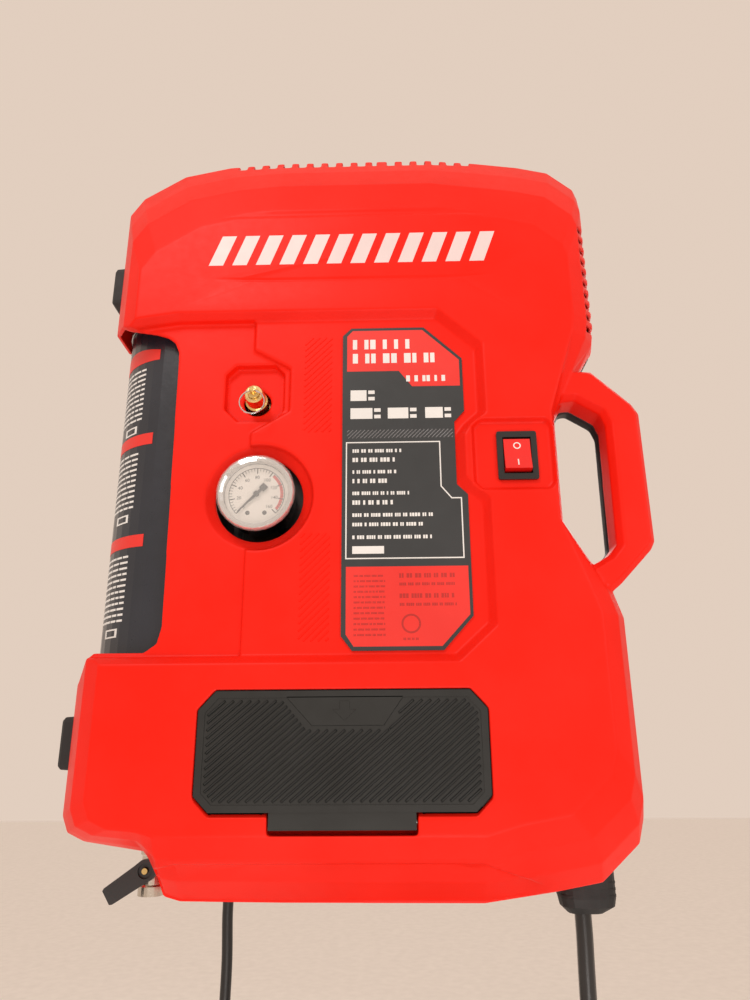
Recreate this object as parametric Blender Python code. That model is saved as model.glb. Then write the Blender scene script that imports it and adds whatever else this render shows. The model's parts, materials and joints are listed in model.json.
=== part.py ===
"""Wall-mounted oil-free air compressor, modelled as separate working pieces.

Frame: +X to the right, +Y into the wall, +Z up, metres. The origin is the centre of the
wall bracket's back face. Lengths below are in millimetres and are multiplied by MM when a
shape is made. The housing is drawn about its own datum, an empty hung under the bracket.
"""

import math

import bmesh
import bpy
from mathutils import Matrix, Vector

MM = 0.001
GAP = 0.3  # clearance kept between touching pieces

# ---------------------------------------------------------------- driving dimensions
DATUM_BELOW_BRACKET = 95.0  # housing datum below the wall bracket's centre
FRONT_Y = -195.0  # front face of the housing
HALF_WIDTH = 178.5  # housing half width at its widest
TOP_Z = 262.0  # top edge of the front shell
BOTTOM_Z = -281.0  # bottom edge of the housing
WALL = 3.0  # moulded wall thickness
BACK_DEPTH = 181.0  # depth of the housing behind its front face
PARTING_DEPTH = 75.0  # where the front and rear shells meet
HANDLE_PARTING = 32.0  # the same beside the handle
HANDLE_FRONT = 8.0
HANDLE_BACK = 45.0
PANEL_DEPTH = 6.5  # recess of the centre panel
FIELD_DEPTH = 9.5  # recess of its left field

TANK_RADIUS = 46.2
TANK_CYLINDER = 281.0
TANK_X, TANK_Y, TANK_Z = -127.9, -131.0, -17.5
TANK_HEAD = 23.0

GAUGE_X, GAUGE_Z = -61.0, -34.0
GAUGE_RADIUS = 25.2
RELIEF_X, RELIEF_Z = -65.5, 37.5
SWITCH_X, SWITCH_Z = 111.7, -9.0

DOOR_LEFT, DOOR_RIGHT = -89.5, 83.0
DOOR_TOP, DOOR_BOTTOM = -160.0, -228.0
DOOR_SWING_ROOM = 1.8  # extra gap under the door, which dips as it starts to open
HINGE_Y, HINGE_Z = -190.5, -233.5
TAB_LEFT, TAB_RIGHT = -45.5, 39.5

MOTOR_BELOW_TOP = 144.0  # room for the cylinder and its head under the top of the shell
MOTOR_Y, MOTOR_Z = -98.0, TOP_Z - MOTOR_BELOW_TOP
SHAFT_RADIUS = 6.0
CRANK_X = -22.0
CRANK_THROW = 7.0

BRACKET_LEFT, BRACKET_RIGHT = -172.0, 182.0
BRACKET_HALF_HEIGHT = 32.0
BRACKET_STEEL = 2.0
LIFT_TRAVEL = 25.0

DRAIN_X, DRAIN_Y, DRAIN_Z = -129.5, -131.0, -265.0
DRAIN_LEVER_ANGLE = -33.0  # below the horizontal, pointing left

HOSE_DIAMETER = 10.5
HOSE_PITCH = 10.5  # spacing of the coiled hose's turns
HOSE_ROWS = 4  # turns beside each other along Y
HOSE_LAYERS = 4  # turns outside each other
HOSE_X, HOSE_Y, HOSE_TOP_Z = 146.0, -120.0, -293.0
HOSE_COIL_RADIUS = 75.0
HOSE_COIL_Z = -465.0

CORD_DIAMETER = 8.0
CORD_PITCH = 8.1
CORD_ROWS = 2
CORD_LAYERS = 4
CORD_X, CORD_Y, CORD_TOP_Z = -99.0, -28.5, -292.0
CORD_COIL_RADIUS = 42.5
CORD_COIL_Z = -432.0

for old in list(bpy.data.objects):
    bpy.data.objects.remove(old, do_unlink=True)

scene = bpy.context.scene.collection
datum = bpy.data.objects.new("housing_datum", None)
datum.location = (0.0, 0.0, -DATUM_BELOW_BRACKET * MM)
scene.objects.link(datum)


# ---------------------------------------------------------------- materials
def material(name, colour, roughness, metallic=0.0):
    made = bpy.data.materials.new(name)
    made.use_nodes = True
    shader = made.node_tree.nodes["Principled BSDF"]
    shader.inputs["Base Color"].default_value = (*colour, 1.0)
    shader.inputs["Roughness"].default_value = roughness
    shader.inputs["Metallic"].default_value = metallic
    return made


RED = ((0.80, 0.028, 0.012), 0.42, 0.0)
BLACK = ((0.02, 0.02, 0.022), 0.5, 0.0)
RUBBER = ((0.015, 0.015, 0.016), 0.8, 0.0)
CHARCOAL = ((0.035, 0.04, 0.045), 0.45, 0.0)
STEEL = ((0.55, 0.56, 0.57), 0.35, 1.0)
GREY = ((0.62, 0.63, 0.64), 0.5, 0.0)
ALUMINIUM = ((0.70, 0.71, 0.72), 0.4, 1.0)
BRASS = ((0.74, 0.52, 0.20), 0.28, 1.0)
NICKEL = ((0.68, 0.64, 0.57), 0.25, 1.0)
COPPER = ((0.72, 0.38, 0.24), 0.3, 1.0)
WHITE = ((0.86, 0.86, 0.82), 0.5, 0.0)
GLASS = ((0.92, 0.94, 0.94), 0.08, 0.0)
TANK_PAINT = ((0.012, 0.015, 0.022), 0.35, 0.0)


# ---------------------------------------------------------------- shape helpers
def finish(obj, look, smooth=True):
    """Parents an object to the housing datum and gives it its own material."""
    obj.parent = datum
    if look is not None:
        obj.data.materials.append(material(obj.name + "_mat", *look))
    if smooth:
        obj.data.shade_smooth()
        obj.data.set_sharp_from_angle(angle=math.radians(32))
    return obj


def cutter(obj):
    """Marks an object as a tool body that never shows."""
    obj.parent = datum
    obj.hide_render = True
    obj.display_type = "WIRE"
    return obj


def link(name, bm, origin=(0.0, 0.0, 0.0)):
    """Makes an object of a bmesh drawn in millimetres, its origin at the given point."""
    bmesh.ops.recalc_face_normals(bm, faces=bm.faces)
    mesh = bpy.data.meshes.new(name)
    place = Matrix.Scale(MM, 4) @ Matrix.Translation(-Vector(origin))
    bm.transform(place)
    bm.to_mesh(mesh)
    bm.free()
    obj = bpy.data.objects.new(name, mesh)
    obj.location = Vector(origin) * MM
    scene.objects.link(obj)
    return obj


def add_loft(bm, rings):
    """One closed body through rings that have the same number of points."""
    made = [[bm.verts.new(point) for point in ring] for ring in rings]
    count = len(made[0])
    bm.faces.new(made[0])
    bm.faces.new(list(reversed(made[-1])))
    for lower, upper in zip(made, made[1:]):
        for i in range(count):
            j = (i + 1) % count
            bm.faces.new((lower[i], upper[i], upper[j], lower[j]))


def along(axis, point, height):
    """A flat point and a height placed in space, the height running along the axis."""
    a, b = point
    return {"X": (height, a, b), "Y": (a, height, b), "Z": (a, b, height)}[axis]


def add_prism(bm, outline, axis, start, end):
    add_loft(bm, [[along(axis, p, h) for p in outline] for h in (start, end)])


def add_box(bm, x, y, z):
    add_prism(bm, [(x[0], y[0]), (x[1], y[0]), (x[1], y[1]), (x[0], y[1])], "Z", z[0], z[1])


def add_turned(bm, centre, axis, profile, segments=20):
    """A turned body: profile is (radius, height) pairs from one end to the other."""
    rings = []
    for radius, height in profile:
        ring = []
        for i in range(segments):
            angle = math.tau * i / segments
            flat = (radius * math.cos(angle), radius * math.sin(angle))
            ring.append(Vector(centre) + Vector(along(axis, flat, height)))
        rings.append(ring)
    add_loft(bm, rings)


def add_turned_ring(bm, centre, axis, profile, segments=20):
    """A turned ring: profile is a closed loop of (radius, height) pairs."""
    rings = []
    for i in range(segments):
        angle = math.tau * i / segments
        ring = []
        for radius, height in profile:
            flat = (radius * math.cos(angle), radius * math.sin(angle))
            ring.append(bm.verts.new(Vector(centre) + Vector(along(axis, flat, height))))
        rings.append(ring)
    count = len(profile)
    for i in range(segments):
        here, there = rings[i], rings[(i + 1) % segments]
        for k in range(count):
            m = (k + 1) % count
            bm.faces.new((here[k], here[m], there[m], there[k]))


def prism(name, outline, axis, start, end, origin=(0, 0, 0)):
    bm = bmesh.new()
    add_prism(bm, outline, axis, start, end)
    return link(name, bm, origin)


def box(name, x, y, z, origin=(0, 0, 0)):
    bm = bmesh.new()
    add_box(bm, x, y, z)
    return link(name, bm, origin)


def turned(name, centre, axis, profile, segments=20, origin=(0, 0, 0)):
    bm = bmesh.new()
    add_turned(bm, centre, axis, profile, segments)
    return link(name, bm, origin)


def turned_ring(name, centre, axis, profile, segments=20, origin=(0, 0, 0)):
    bm = bmesh.new()
    add_turned_ring(bm, centre, axis, profile, segments)
    return link(name, bm, origin)


def boolean(obj, other, operation="DIFFERENCE"):
    """Adds an exact Boolean; the other body becomes a hidden tool body."""
    cutter(other)
    step = obj.modifiers.new(other.name, "BOOLEAN")
    step.operation = operation
    step.solver = "EXACT"
    step.object = other
    return obj


def grown(outline, amount):
    """An outline moved outwards by an amount at every side (mitred corners)."""
    count = len(outline)
    area = sum(
        outline[i][0] * outline[(i + 1) % count][1] - outline[(i + 1) % count][0] * outline[i][1]
        for i in range(count)
    )
    side = 1.0 if area > 0 else -1.0
    out = []
    for i in range(count):
        before = Vector(outline[i - 1])
        here = Vector(outline[i])
        after = Vector(outline[(i + 1) % count])
        first = (here - before).normalized()
        second = (after - here).normalized()
        n1 = Vector((first.y, -first.x)) * side
        n2 = Vector((second.y, -second.x)) * side
        mitre = (n1 + n2) / (1.0 + n1.dot(n2))
        moved = here + mitre * amount
        out.append((moved.x, moved.y))
    return out


def rounded(outline, radius, steps=3):
    """An outline whose corners are rounded."""
    out = []
    count = len(outline)
    for i in range(count):
        before = Vector(outline[i - 1])
        here = Vector(outline[i])
        after = Vector(outline[(i + 1) % count])
        to_before = (before - here).normalized()
        to_after = (after - here).normalized()
        half = math.acos(max(-1.0, min(1.0, to_before.dot(to_after)))) / 2
        reach = min(radius / math.tan(half), 0.45 * min((before - here).length, (after - here).length))
        for k in range(steps + 1):
            t = k / steps
            a = here + to_before * reach
            c = here + to_after * reach
            point = a * (1 - t) ** 2 + here * (2 * t * (1 - t)) + c * t**2
            out.append((point.x, point.y))
    return out


def frustum(name, outline, front_depth, floor_depth, flare):
    """A recess cutter: the outline at its floor, opening by the flare at its mouth."""
    mouth = grown(outline, flare)
    rings = [
        [(x, FRONT_Y + front_depth, z) for x, z in mouth],
        [(x, FRONT_Y + floor_depth, z) for x, z in outline],
    ]
    bm = bmesh.new()
    add_loft(bm, rings)
    return link(name, bm)


def circle(x, z, radius, segments=32):
    return [
        (x + radius * math.cos(math.tau * i / segments), z + radius * math.sin(math.tau * i / segments))
        for i in range(segments)
    ]


def smooth_path(route, spacing):
    """Evenly spaced points read from a Catmull-Rom curve through the route's points."""
    route = [Vector(p) for p in route]
    ends = [route[0] * 2 - route[1]] + route + [route[-1] * 2 - route[-2]]
    dense = []
    for p0, p1, p2, p3 in zip(ends, ends[1:], ends[2:], ends[3:]):
        for k in range(24):
            t = k / 24
            dense.append(
                0.5
                * (
                    2 * p1
                    + (p2 - p0) * t
                    + (2 * p0 - 5 * p1 + 4 * p2 - p3) * t**2
                    + (3 * p1 - p0 - 3 * p2 + p3) * t**3
                )
            )
    dense.append(route[-1])
    length = sum((b - a).length for a, b in zip(dense, dense[1:]))
    count = max(2, round(length / spacing))
    out = [dense[0]]
    travelled, wanted = 0.0, length / count
    for a, b in zip(dense, dense[1:]):
        step = (b - a).length
        while step > 0 and travelled + step >= wanted - 1e-6 and len(out) < count:
            out.append(a.lerp(b, (wanted - travelled) / step))
            wanted += length / count
        travelled += step
    out.append(dense[-1])
    return out


def tube(name, route, diameter, look, spacing=None):
    """A plain cord or pipe: a curve with a round bevel and filled caps."""
    points = smooth_path(route, spacing or 2.5 * diameter)
    curve = bpy.data.curves.new(name, "CURVE")
    curve.dimensions = "3D"
    curve.bevel_depth = diameter / 2 * MM
    curve.bevel_resolution = 2
    curve.use_fill_caps = True
    spline = curve.splines.new("POLY")
    spline.points.add(len(points) - 1)
    for slot, point in zip(spline.points, points):
        slot.co = (*(point * MM), 1.0)
    obj = bpy.data.objects.new(name, curve)
    scene.objects.link(obj)
    return finish(obj, look, smooth=False)


# ---------------------------------------------------------------- housing outline
# depth behind the front face, half width, top, bottom, bottom left of the drain notch
HOUSING_RINGS = [
    (0.0, HALF_WIDTH - 21.5, 4.0, TOP_Z - 76.0, BOTTOM_Z + 40.0, BOTTOM_Z + 44.0),
    (8.0, HALF_WIDTH - 10.0, 4.5, TOP_Z - 45.0, BOTTOM_Z + 27.0, BOTTOM_Z + 40.0),
    (20.0, HALF_WIDTH - 3.0, 4.5, TOP_Z - 22.0, BOTTOM_Z + 12.5, BOTTOM_Z + 36.5),
    (34.0, HALF_WIDTH, 0.0, TOP_Z, BOTTOM_Z, BOTTOM_Z + 34.0),
    (75.0, HALF_WIDTH, 0.0, TOP_Z + 4.0, BOTTOM_Z, BOTTOM_Z + 34.0),
    (150.0, HALF_WIDTH - 1.5, 0.0, TOP_Z + 6.0, BOTTOM_Z + 1.5, BOTTOM_Z + 35.0),
    (BACK_DEPTH, HALF_WIDTH - 7.5, 0.0, TOP_Z, BOTTOM_Z + 7.0, BOTTOM_Z + 40.0),
]


def section(half, left_draft, top, bottom, left_bottom, inset):
    """One section of the housing with the handle bay on its right side."""
    bay = 142.0 - 0.28 * (HALF_WIDTH - half) - inset
    s, t, b, n = half - inset, top - inset, bottom + inset, left_bottom + inset
    left = s - left_draft
    drop = n - b
    return [
        (-left, t - 48.0),
        (-left + 10.0, t - 32.0),
        (-left + 42.0, t - 11.0),
        (-left + 78.0, t - 3.0),
        (-55.0, t),
        (60.0, t),
        (s - 80.0, t - 4.0),
        (s - 46.0, t - 9.0),
        (s - 22.0, t - 15.0),
        (s - 3.0, t - 32.0),
        (s, t - 42.0),
        (s, 96.0 + inset),
        (s - 2.0, 82.0 + inset),
        (bay, 22.0 + 0.5 * inset),
        (bay, -54.0 - 0.5 * inset),
        (s - 5.0, -99.0 - inset),
        (s, -115.0 - inset),
        (s, b + 46.0),
        (s - 4.0, b + 32.0),
        (s - 28.0, b + 11.0),
        (s - 56.0, b + 6.0),
        (80.0, b),
        (-40.0, b + 0.5),
        (-102.0 + inset, b + 0.04 * drop),
        (-112.0 + inset, b + 0.12 * drop),
        (-119.0 + inset, b + 0.62 * drop),
        (-124.0 + inset, b + 0.84 * drop),
        (-left + 15.0, n + 0.5),
        (-left + 4.0, n + 5.5),
        (-left, n + 15.0),
    ]


def housing_solid(name, inset):
    rings = []
    for depth, *sizes in HOUSING_RINGS:
        y = FRONT_Y + min(max(depth, inset), BACK_DEPTH - inset)
        rings.append([(x, y, z) for x, z in section(*sizes, inset)])
    bm = bmesh.new()
    add_loft(bm, rings)
    return link(name, bm)


HANDLE_OUTER = [
    (146.0, 58.0),
    (168.6, 56.5),
    (194.0, 31.5),
    (198.4, 24.0),
    (198.6, -66.5),
    (195.8, -72.0),
    (174.5, -94.0),
    (166.0, -101.0),
    (150.0, -92.0),
]
HANDLE_INNER = [
    (153.0, -84.0),
    (160.4, -80.0),
    (168.0, -75.5),
    (173.8, -68.5),
    (174.6, 16.0),
    (171.5, 24.0),
    (155.0, 34.5),
    (142.0, 33.0),
]


def handle_solid(name):
    """The handle loop, its front edges chamfered and its back edges eased."""
    band = HANDLE_OUTER + HANDLE_INNER
    narrow = grown(band, -4.0)
    eased = grown(band, -1.5)
    rings = [
        [(x, FRONT_Y + HANDLE_FRONT, z) for x, z in narrow],
        [(x, FRONT_Y + HANDLE_FRONT + 5.0, z) for x, z in band],
        [(x, FRONT_Y + HANDLE_BACK - 3.0, z) for x, z in band],
        [(x, FRONT_Y + HANDLE_BACK, z) for x, z in eased],
    ]
    bm = bmesh.new()
    add_loft(bm, rings)
    return link(name, bm)


def half_space(name, front, clearance):
    """The front or rear side of the stepped parting line, as a prism across the housing."""
    step = [
        (PARTING_DEPTH, 400.0),
        (PARTING_DEPTH, 116.0),
        (HANDLE_PARTING, 76.0),
        (HANDLE_PARTING, -110.0),
        (PARTING_DEPTH, -150.0),
        (PARTING_DEPTH, -400.0),
    ]
    far = -60.0 if front else BACK_DEPTH + 60.0
    outline = [(FRONT_Y + d + clearance, z) for d, z in step]
    outline += [(FRONT_Y + far, -400.0), (FRONT_Y + far, 400.0)]
    return prism(name, outline, "X", -300.0, 300.0)


WINDOW = [
    (-215.0, 110.0),
    (-177.0, 104.0),
    (-171.0, 99.5),
    (-160.0, 94.5),
    (-140.0, 91.0),
    (-131.0, 88.0),
    (-126.0, 84.0),
    (-122.5, 76.0),
    (-119.0, -119.0),
    (-121.5, -130.0),
    (-129.0, -135.5),
    (-160.5, -135.5),
    (-166.0, -140.5),
    (-171.0, -147.0),
    (-177.0, -152.0),
    (-215.0, -158.0),
]
PANEL_FLOOR = [
    (-178.0, 88.0),
    (-150.0, 93.0),
    (-122.0, 97.0),
    (60.0, 97.0),
    (87.0, 72.0),
    (87.0, 24.0),
    (77.0, 15.0),
    (72.0, 8.0),
    (72.0, -26.0),
    (77.0, -32.0),
    (87.0, -41.0),
    (87.0, -119.0),
    (66.0, -138.0),
    (-178.0, -138.0),
]
PANEL_BACKING = [
    (-182.0, 106.0),
    (76.0, 106.0),
    (94.0, 84.0),
    (94.0, -132.0),
    (76.0, -148.0),
    (-182.0, -148.0),
]
# Behind the fold above the brow, where the two slopes would leave the wall thinnest.
BROW_BACKING = [(-125.0, 198.0), (125.0, 198.0), (125.0, 219.0), (-125.0, 219.0)]
HINGE_BACKING = [(-49.0, -226.3), (43.0, -226.3), (43.0, -243.5), (-49.0, -243.5)]
LEFT_FIELD = [
    (-178.0, 88.5),
    (-150.0, 93.7),
    (-122.0, 97.6),
    (-68.0, 97.6),
    (-68.0, 75.0),
    (-42.0, 60.0),
    (-42.0, 28.0),
    (-68.0, 12.0),
    (-68.0, -138.6),
    (-178.0, -138.6),
]
RELIEF_POCKET = [
    (-80.0, 64.0),
    (-53.0, 64.0),
    (-46.5, 57.0),
    (-46.5, 30.0),
    (-53.0, 22.0),
    (-78.0, 22.0),
    (-87.0, 31.0),
    (-87.0, 57.0),
]
SWITCH_POCKET = [
    (84.0, 11.5),
    (88.0, 15.0),
    (131.0, 15.0),
    (134.0, 11.0),
    (134.0, -28.0),
    (131.0, -31.5),
    (88.0, -31.5),
    (84.0, -27.5),
]
BOOT_OUTLINE = rounded([(131.0, -134.0), (167.0, -134.0), (167.0, -106.0), (131.0, -106.0)], 13.0, 4)


def door_outline(grow):
    return grown(
        [
            (DOOR_LEFT + 10.0, DOOR_TOP),
            (DOOR_RIGHT - 10.0, DOOR_TOP),
            (DOOR_RIGHT, DOOR_TOP - 11.0),
            (DOOR_RIGHT, DOOR_BOTTOM + 9.0),
            (DOOR_RIGHT - 9.0, DOOR_BOTTOM),
            (DOOR_LEFT + 9.0, DOOR_BOTTOM),
            (DOOR_LEFT, DOOR_BOTTOM + 9.0),
            (DOOR_LEFT, DOOR_TOP - 11.0),
        ],
        grow,
    )


def cavity(name):
    """The hollow inside the shells, with the material behind each recess left standing."""
    hollow = housing_solid(name, WALL)
    backings = [
        ("panel_backing", PANEL_BACKING, 12.5),
        ("gauge_backing", circle(GAUGE_X, GAUGE_Z, 36.0), 17.0),
        ("relief_backing", grown(RELIEF_POCKET, 3.5), 18.0),
        ("switch_backing", grown(SWITCH_POCKET, 4.0), 8.0),
        ("hinge_backing", HINGE_BACKING, 14.5),
        ("brow_backing", BROW_BACKING, 10.5),
    ]
    for label, outline, depth in backings:
        boolean(hollow, prism(name + "_" + label, outline, "Y", FRONT_Y - 10.0, FRONT_Y + depth))
    return hollow


def boxes(name, spans):
    bm = bmesh.new()
    for x, y, z in spans:
        add_box(bm, x, y, z)
    return link(name, bm)


# ---------------------------------------------------------------- front shell
front_shell = housing_solid("front_shell", 0.0)
boolean(front_shell, handle_solid("handle_front_tool"), "UNION")
boolean(front_shell, cavity("front_cavity"))
boolean(front_shell, half_space("front_side", True, -0.15), "INTERSECT")
boolean(front_shell, frustum("panel_recess", PANEL_FLOOR, -1.0, PANEL_DEPTH, 6.5))
boolean(front_shell, frustum("left_field", LEFT_FIELD, PANEL_DEPTH - 4.0, FIELD_DEPTH, 1.0))
boolean(front_shell, prism("front_window", WINDOW, "Y", FRONT_Y - 20.0, FRONT_Y + 118.0))
boolean(front_shell, frustum("relief_pocket", RELIEF_POCKET, 2.0, 15.0, 1.5))
boolean(front_shell, frustum("switch_pocket", SWITCH_POCKET, -1.0, 4.5, 3.0))
boolean(
    front_shell,
    turned(
        "gauge_cone",
        (GAUGE_X, FRONT_Y, GAUGE_Z),
        "Y",
        [(40.0, -2.0), (36.0, FIELD_DEPTH), (29.5, 14.0), (29.5, 40.0)],
        40,
    ),
)
boolean(
    front_shell,
    turned("relief_hole", (RELIEF_X, FRONT_Y, RELIEF_Z), "Y", [(9.5, 5.0), (9.5, 40.0)], 24),
)
boolean(
    front_shell,
    box(
        "switch_hole",
        (SWITCH_X - 11.5, SWITCH_X + 11.5),
        (FRONT_Y - 5.0, FRONT_Y + 30.0),
        (SWITCH_Z - 15.0, SWITCH_Z + 15.0),
    ),
)
boolean(front_shell, prism("door_opening", door_outline(0.7), "Y", FRONT_Y - 5.0, FRONT_Y + 5.0))
swing_room = prism("door_swing_room", door_outline(0.6), "Y", FRONT_Y - 5.0, FRONT_Y + 2.2)
swing_room.location.z -= DOOR_SWING_ROOM * MM
boolean(front_shell, swing_room)
boolean(
    front_shell,
    box(
        "hinge_pocket",
        (TAB_LEFT - 0.8, TAB_RIGHT + 0.8),
        (FRONT_Y - 5.0, FRONT_Y + 11.5),
        (-240.5, DOOR_BOTTOM + 2.0),
    ),
)
boolean(front_shell, prism("boot_hole_front", grown(BOOT_OUTLINE, 0.3), "Z", -310.0, -240.0))

VENT_PITCH = 12.0
VENT_COUNT = 16
top_slots = []
for slot in range(VENT_COUNT):
    left = -92.0 + VENT_PITCH * slot
    width = 3.2 if slot == 9 else 6.0
    top_slots.append(((left, left + width), (FRONT_Y + 24.0, FRONT_Y + 62.0), (TOP_Z - 9.0, TOP_Z + 20.0)))
boolean(front_shell, boxes("top_vents", top_slots))

LOUVRE_COUNT = 10
LOUVRE_PITCH = 9.3


def louvre_body(name, depths, count, top, reach=(168.0, 185.0)):
    """Slanted vent slots through the right side wall."""
    bm = bmesh.new()
    front, back = (FRONT_Y + d for d in depths)
    for i in range(count):
        z = top - LOUVRE_PITCH * i
        outline = [(front, z - 5.0), (back, z + 4.0), (back, z + 8.5), (front, z - 0.5)]
        add_prism(bm, outline, "X", reach[0], reach[1])
    return link(name, bm)


boolean(front_shell, louvre_body("front_louvres", (9.0, 40.0), LOUVRE_COUNT, 176.0, (160.0, 185.0)))

boolean(
    front_shell,
    turned("drain_hole_front", (DRAIN_X + 1.0, DRAIN_Y, 0.0), "Z", [(9.5, -300.0), (9.5, -200.0)], 24),
)
crease = [(-120.0, 188.0), (117.0, 188.0), (100.0, 182.5), (-108.0, 182.5)]
boolean(front_shell, prism("brow_groove", crease, "Y", FRONT_Y - 3.0, FRONT_Y + 1.2))
finish(front_shell, RED)

# ---------------------------------------------------------------- rear shell
rear_shell = housing_solid("rear_shell", 0.0)
boolean(rear_shell, handle_solid("handle_rear_tool"), "UNION")
boolean(rear_shell, cavity("rear_cavity"))
boolean(rear_shell, half_space("rear_side", False, 0.15), "INTERSECT")
boolean(rear_shell, prism("rear_window", WINDOW, "Y", FRONT_Y - 20.0, FRONT_Y + 118.0))
boolean(rear_shell, louvre_body("rear_louvres", (95.0, 150.0), LOUVRE_COUNT, 190.0))
boolean(rear_shell, prism("boot_hole_rear", grown(BOOT_OUTLINE, 0.3), "Z", -310.0, -240.0))
boolean(
    rear_shell,
    turned("cord_hole", (CORD_X, CORD_Y, 0.0), "Z", [(8.3, -300.0), (8.3, -255.0)], 24),
)
boolean(
    rear_shell,
    turned("drain_hole_rear", (DRAIN_X + 1.0, DRAIN_Y, 0.0), "Z", [(9.5, -300.0), (9.5, -200.0)], 24),
)
HOOK_X = (-95.0, 95.0)
HOOK_HALF = 14.0
HOOK_Z = (DATUM_BELOW_BRACKET - 4.0, DATUM_BELOW_BRACKET + 22.0)
BACK_Y = FRONT_Y + BACK_DEPTH
key_slots = []
for x in HOOK_X:
    span = (x - HOOK_HALF - 1.5, x + HOOK_HALF + 1.5)
    slot_heights = (HOOK_Z[0] - LIFT_TRAVEL - 4.0, HOOK_Z[0] + 1.0 + GAP)
    key_slots.append((span, (BACK_Y - 10.0, BACK_Y + 5.0), slot_heights))
boolean(rear_shell, boxes("key_slots", key_slots))
rear_slots = []
for i in range(4):
    z = 12.0 + 11.0 * i
    rear_slots.append(((-60.0, 60.0), (BACK_Y - 8.0, BACK_Y + 4.0), (z, z + 5.0)))
boolean(rear_shell, boxes("back_vents", rear_slots))
finish(rear_shell, BLACK)

# ---------------------------------------------------------------- wall bracket
bm = bmesh.new()
mid = DATUM_BELOW_BRACKET
plate = [
    (BRACKET_LEFT, mid - BRACKET_HALF_HEIGHT + 14.0),
    (BRACKET_LEFT + 14.0, mid - BRACKET_HALF_HEIGHT),
    (BRACKET_RIGHT - 14.0, mid - BRACKET_HALF_HEIGHT),
    (BRACKET_RIGHT, mid - BRACKET_HALF_HEIGHT + 14.0),
    (BRACKET_RIGHT, mid + BRACKET_HALF_HEIGHT),
    (BRACKET_LEFT, mid + BRACKET_HALF_HEIGHT),
]
add_prism(bm, plate, "Y", -BRACKET_STEEL, 0.0)
wall_bracket = link("wall_bracket", bm)
bm = bmesh.new()
bracket_top = mid + BRACKET_HALF_HEIGHT
add_box(bm, (BRACKET_LEFT, BRACKET_RIGHT), (-9.0, -1.0), (bracket_top - 2.0, bracket_top))
boolean(wall_bracket, link("bracket_lip", bm), "UNION")
hooks = bmesh.new()
for x in HOOK_X:
    # a tongue that leaves the plate, enters the shell and turns up behind its back wall
    hook = [
        (-1.0, HOOK_Z[0] - 2.0),
        (-21.5, HOOK_Z[0] - 2.0),
        (-21.5, HOOK_Z[1] - 8.0),
        (-19.0, HOOK_Z[1] - 8.0),
        (-19.0, HOOK_Z[0] + 1.0),
        (-1.0, HOOK_Z[0] + 1.0),
    ]
    add_prism(hooks, hook, "X", x - HOOK_HALF, x + HOOK_HALF)
boolean(wall_bracket, link("bracket_hooks", hooks), "UNION")
bm = bmesh.new()
SCREW_X = (-150.0, 150.0)
for x in SCREW_X:
    add_turned(bm, (x, 0.0, mid), "Y", [(3.1, -10.0), (3.1, 5.0)], 16)
boolean(wall_bracket, link("bracket_holes", bm))
finish(wall_bracket, GREY)
for label, x in zip(("left", "right"), SCREW_X):
    screw = turned(
        "bracket_screw_" + label,
        (x, 0.0, mid),
        "Y",
        [(3.0, -4.9), (5.6, -4.2), (6.2, -2.3), (2.7, -2.3), (2.7, -0.2)],
        20,
    )
    slot = boxes(
        "screw_slot_" + label,
        [((x - 4.0, x + 4.0), (-6.0, -4.0), (mid - 0.6, mid + 0.6))],
    )
    boolean(screw, slot)
    finish(screw, STEEL)

# ---------------------------------------------------------------- feet and bumpers
FOOT_PROUD = 11.5
FOOT_HALF_HEIGHT = 17.0
for label, depth, half_depth, z in (
    ("front_top", 58.0, 15.5, 155.0),
    ("front_bottom", 58.0, 15.5, -189.0),
    ("rear_top", 122.0, 15.5, 155.0),
    ("rear_bottom", 122.0, 15.5, -189.0),
):
    y = FRONT_Y + depth
    pad = rounded(
        [
            (y - half_depth, z - FOOT_HALF_HEIGHT),
            (y + half_depth, z - FOOT_HALF_HEIGHT),
            (y + half_depth, z + FOOT_HALF_HEIGHT),
            (y - half_depth, z + FOOT_HALF_HEIGHT),
        ],
        4.0,
        3,
    )
    bm = bmesh.new()
    add_loft(
        bm,
        [
            [(-HALF_WIDTH - GAP, py, pz) for py, pz in pad],
            [(-HALF_WIDTH - FOOT_PROUD + 2.0, py, pz) for py, pz in grown(pad, -0.6)],
            [(-HALF_WIDTH - FOOT_PROUD, py, pz) for py, pz in grown(pad, -2.6)],
        ],
    )
    finish(link("side_foot_" + label, bm), RUBBER)
bumper_outline = rounded([(-70.0, -233.0), (70.0, -233.0), (70.0, -217.0), (-70.0, -217.0)], 7.9, 4)
bm = bmesh.new()
add_loft(
    bm,
    [
        [(x, BACK_Y + GAP, z) for x, z in bumper_outline],
        [(x, -2.5, z) for x, z in bumper_outline],
        [(x, -0.4, z) for x, z in grown(bumper_outline, -2.0)],
    ],
)
finish(link("wall_bumper", bm), RUBBER)

# ---------------------------------------------------------------- storage bin and door
bin_outer = [
    (DOOR_LEFT + 9.0, DOOR_TOP - 4.0),
    (DOOR_RIGHT - 6.0, DOOR_TOP - 4.0),
    (DOOR_RIGHT - 6.0, DOOR_BOTTOM + 3.0),
    (DOOR_LEFT + 9.0, DOOR_BOTTOM + 3.0),
]
bm = bmesh.new()
add_prism(bm, bin_outer, "Y", FRONT_Y + WALL + GAP, -122.0)
storage_bin = link("storage_bin", bm)
flange = prism(
    "bin_flange",
    [(DOOR_LEFT - 5.0, DOOR_TOP + 5.0), (DOOR_RIGHT + 5.0, DOOR_TOP + 5.0),
     (DOOR_RIGHT + 5.0, DOOR_BOTTOM + 2.5), (DOOR_LEFT - 5.0, DOOR_BOTTOM + 2.5)],
    "Y",
    FRONT_Y + WALL + GAP,
    FRONT_Y + WALL + GAP + 2.2,
)
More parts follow.
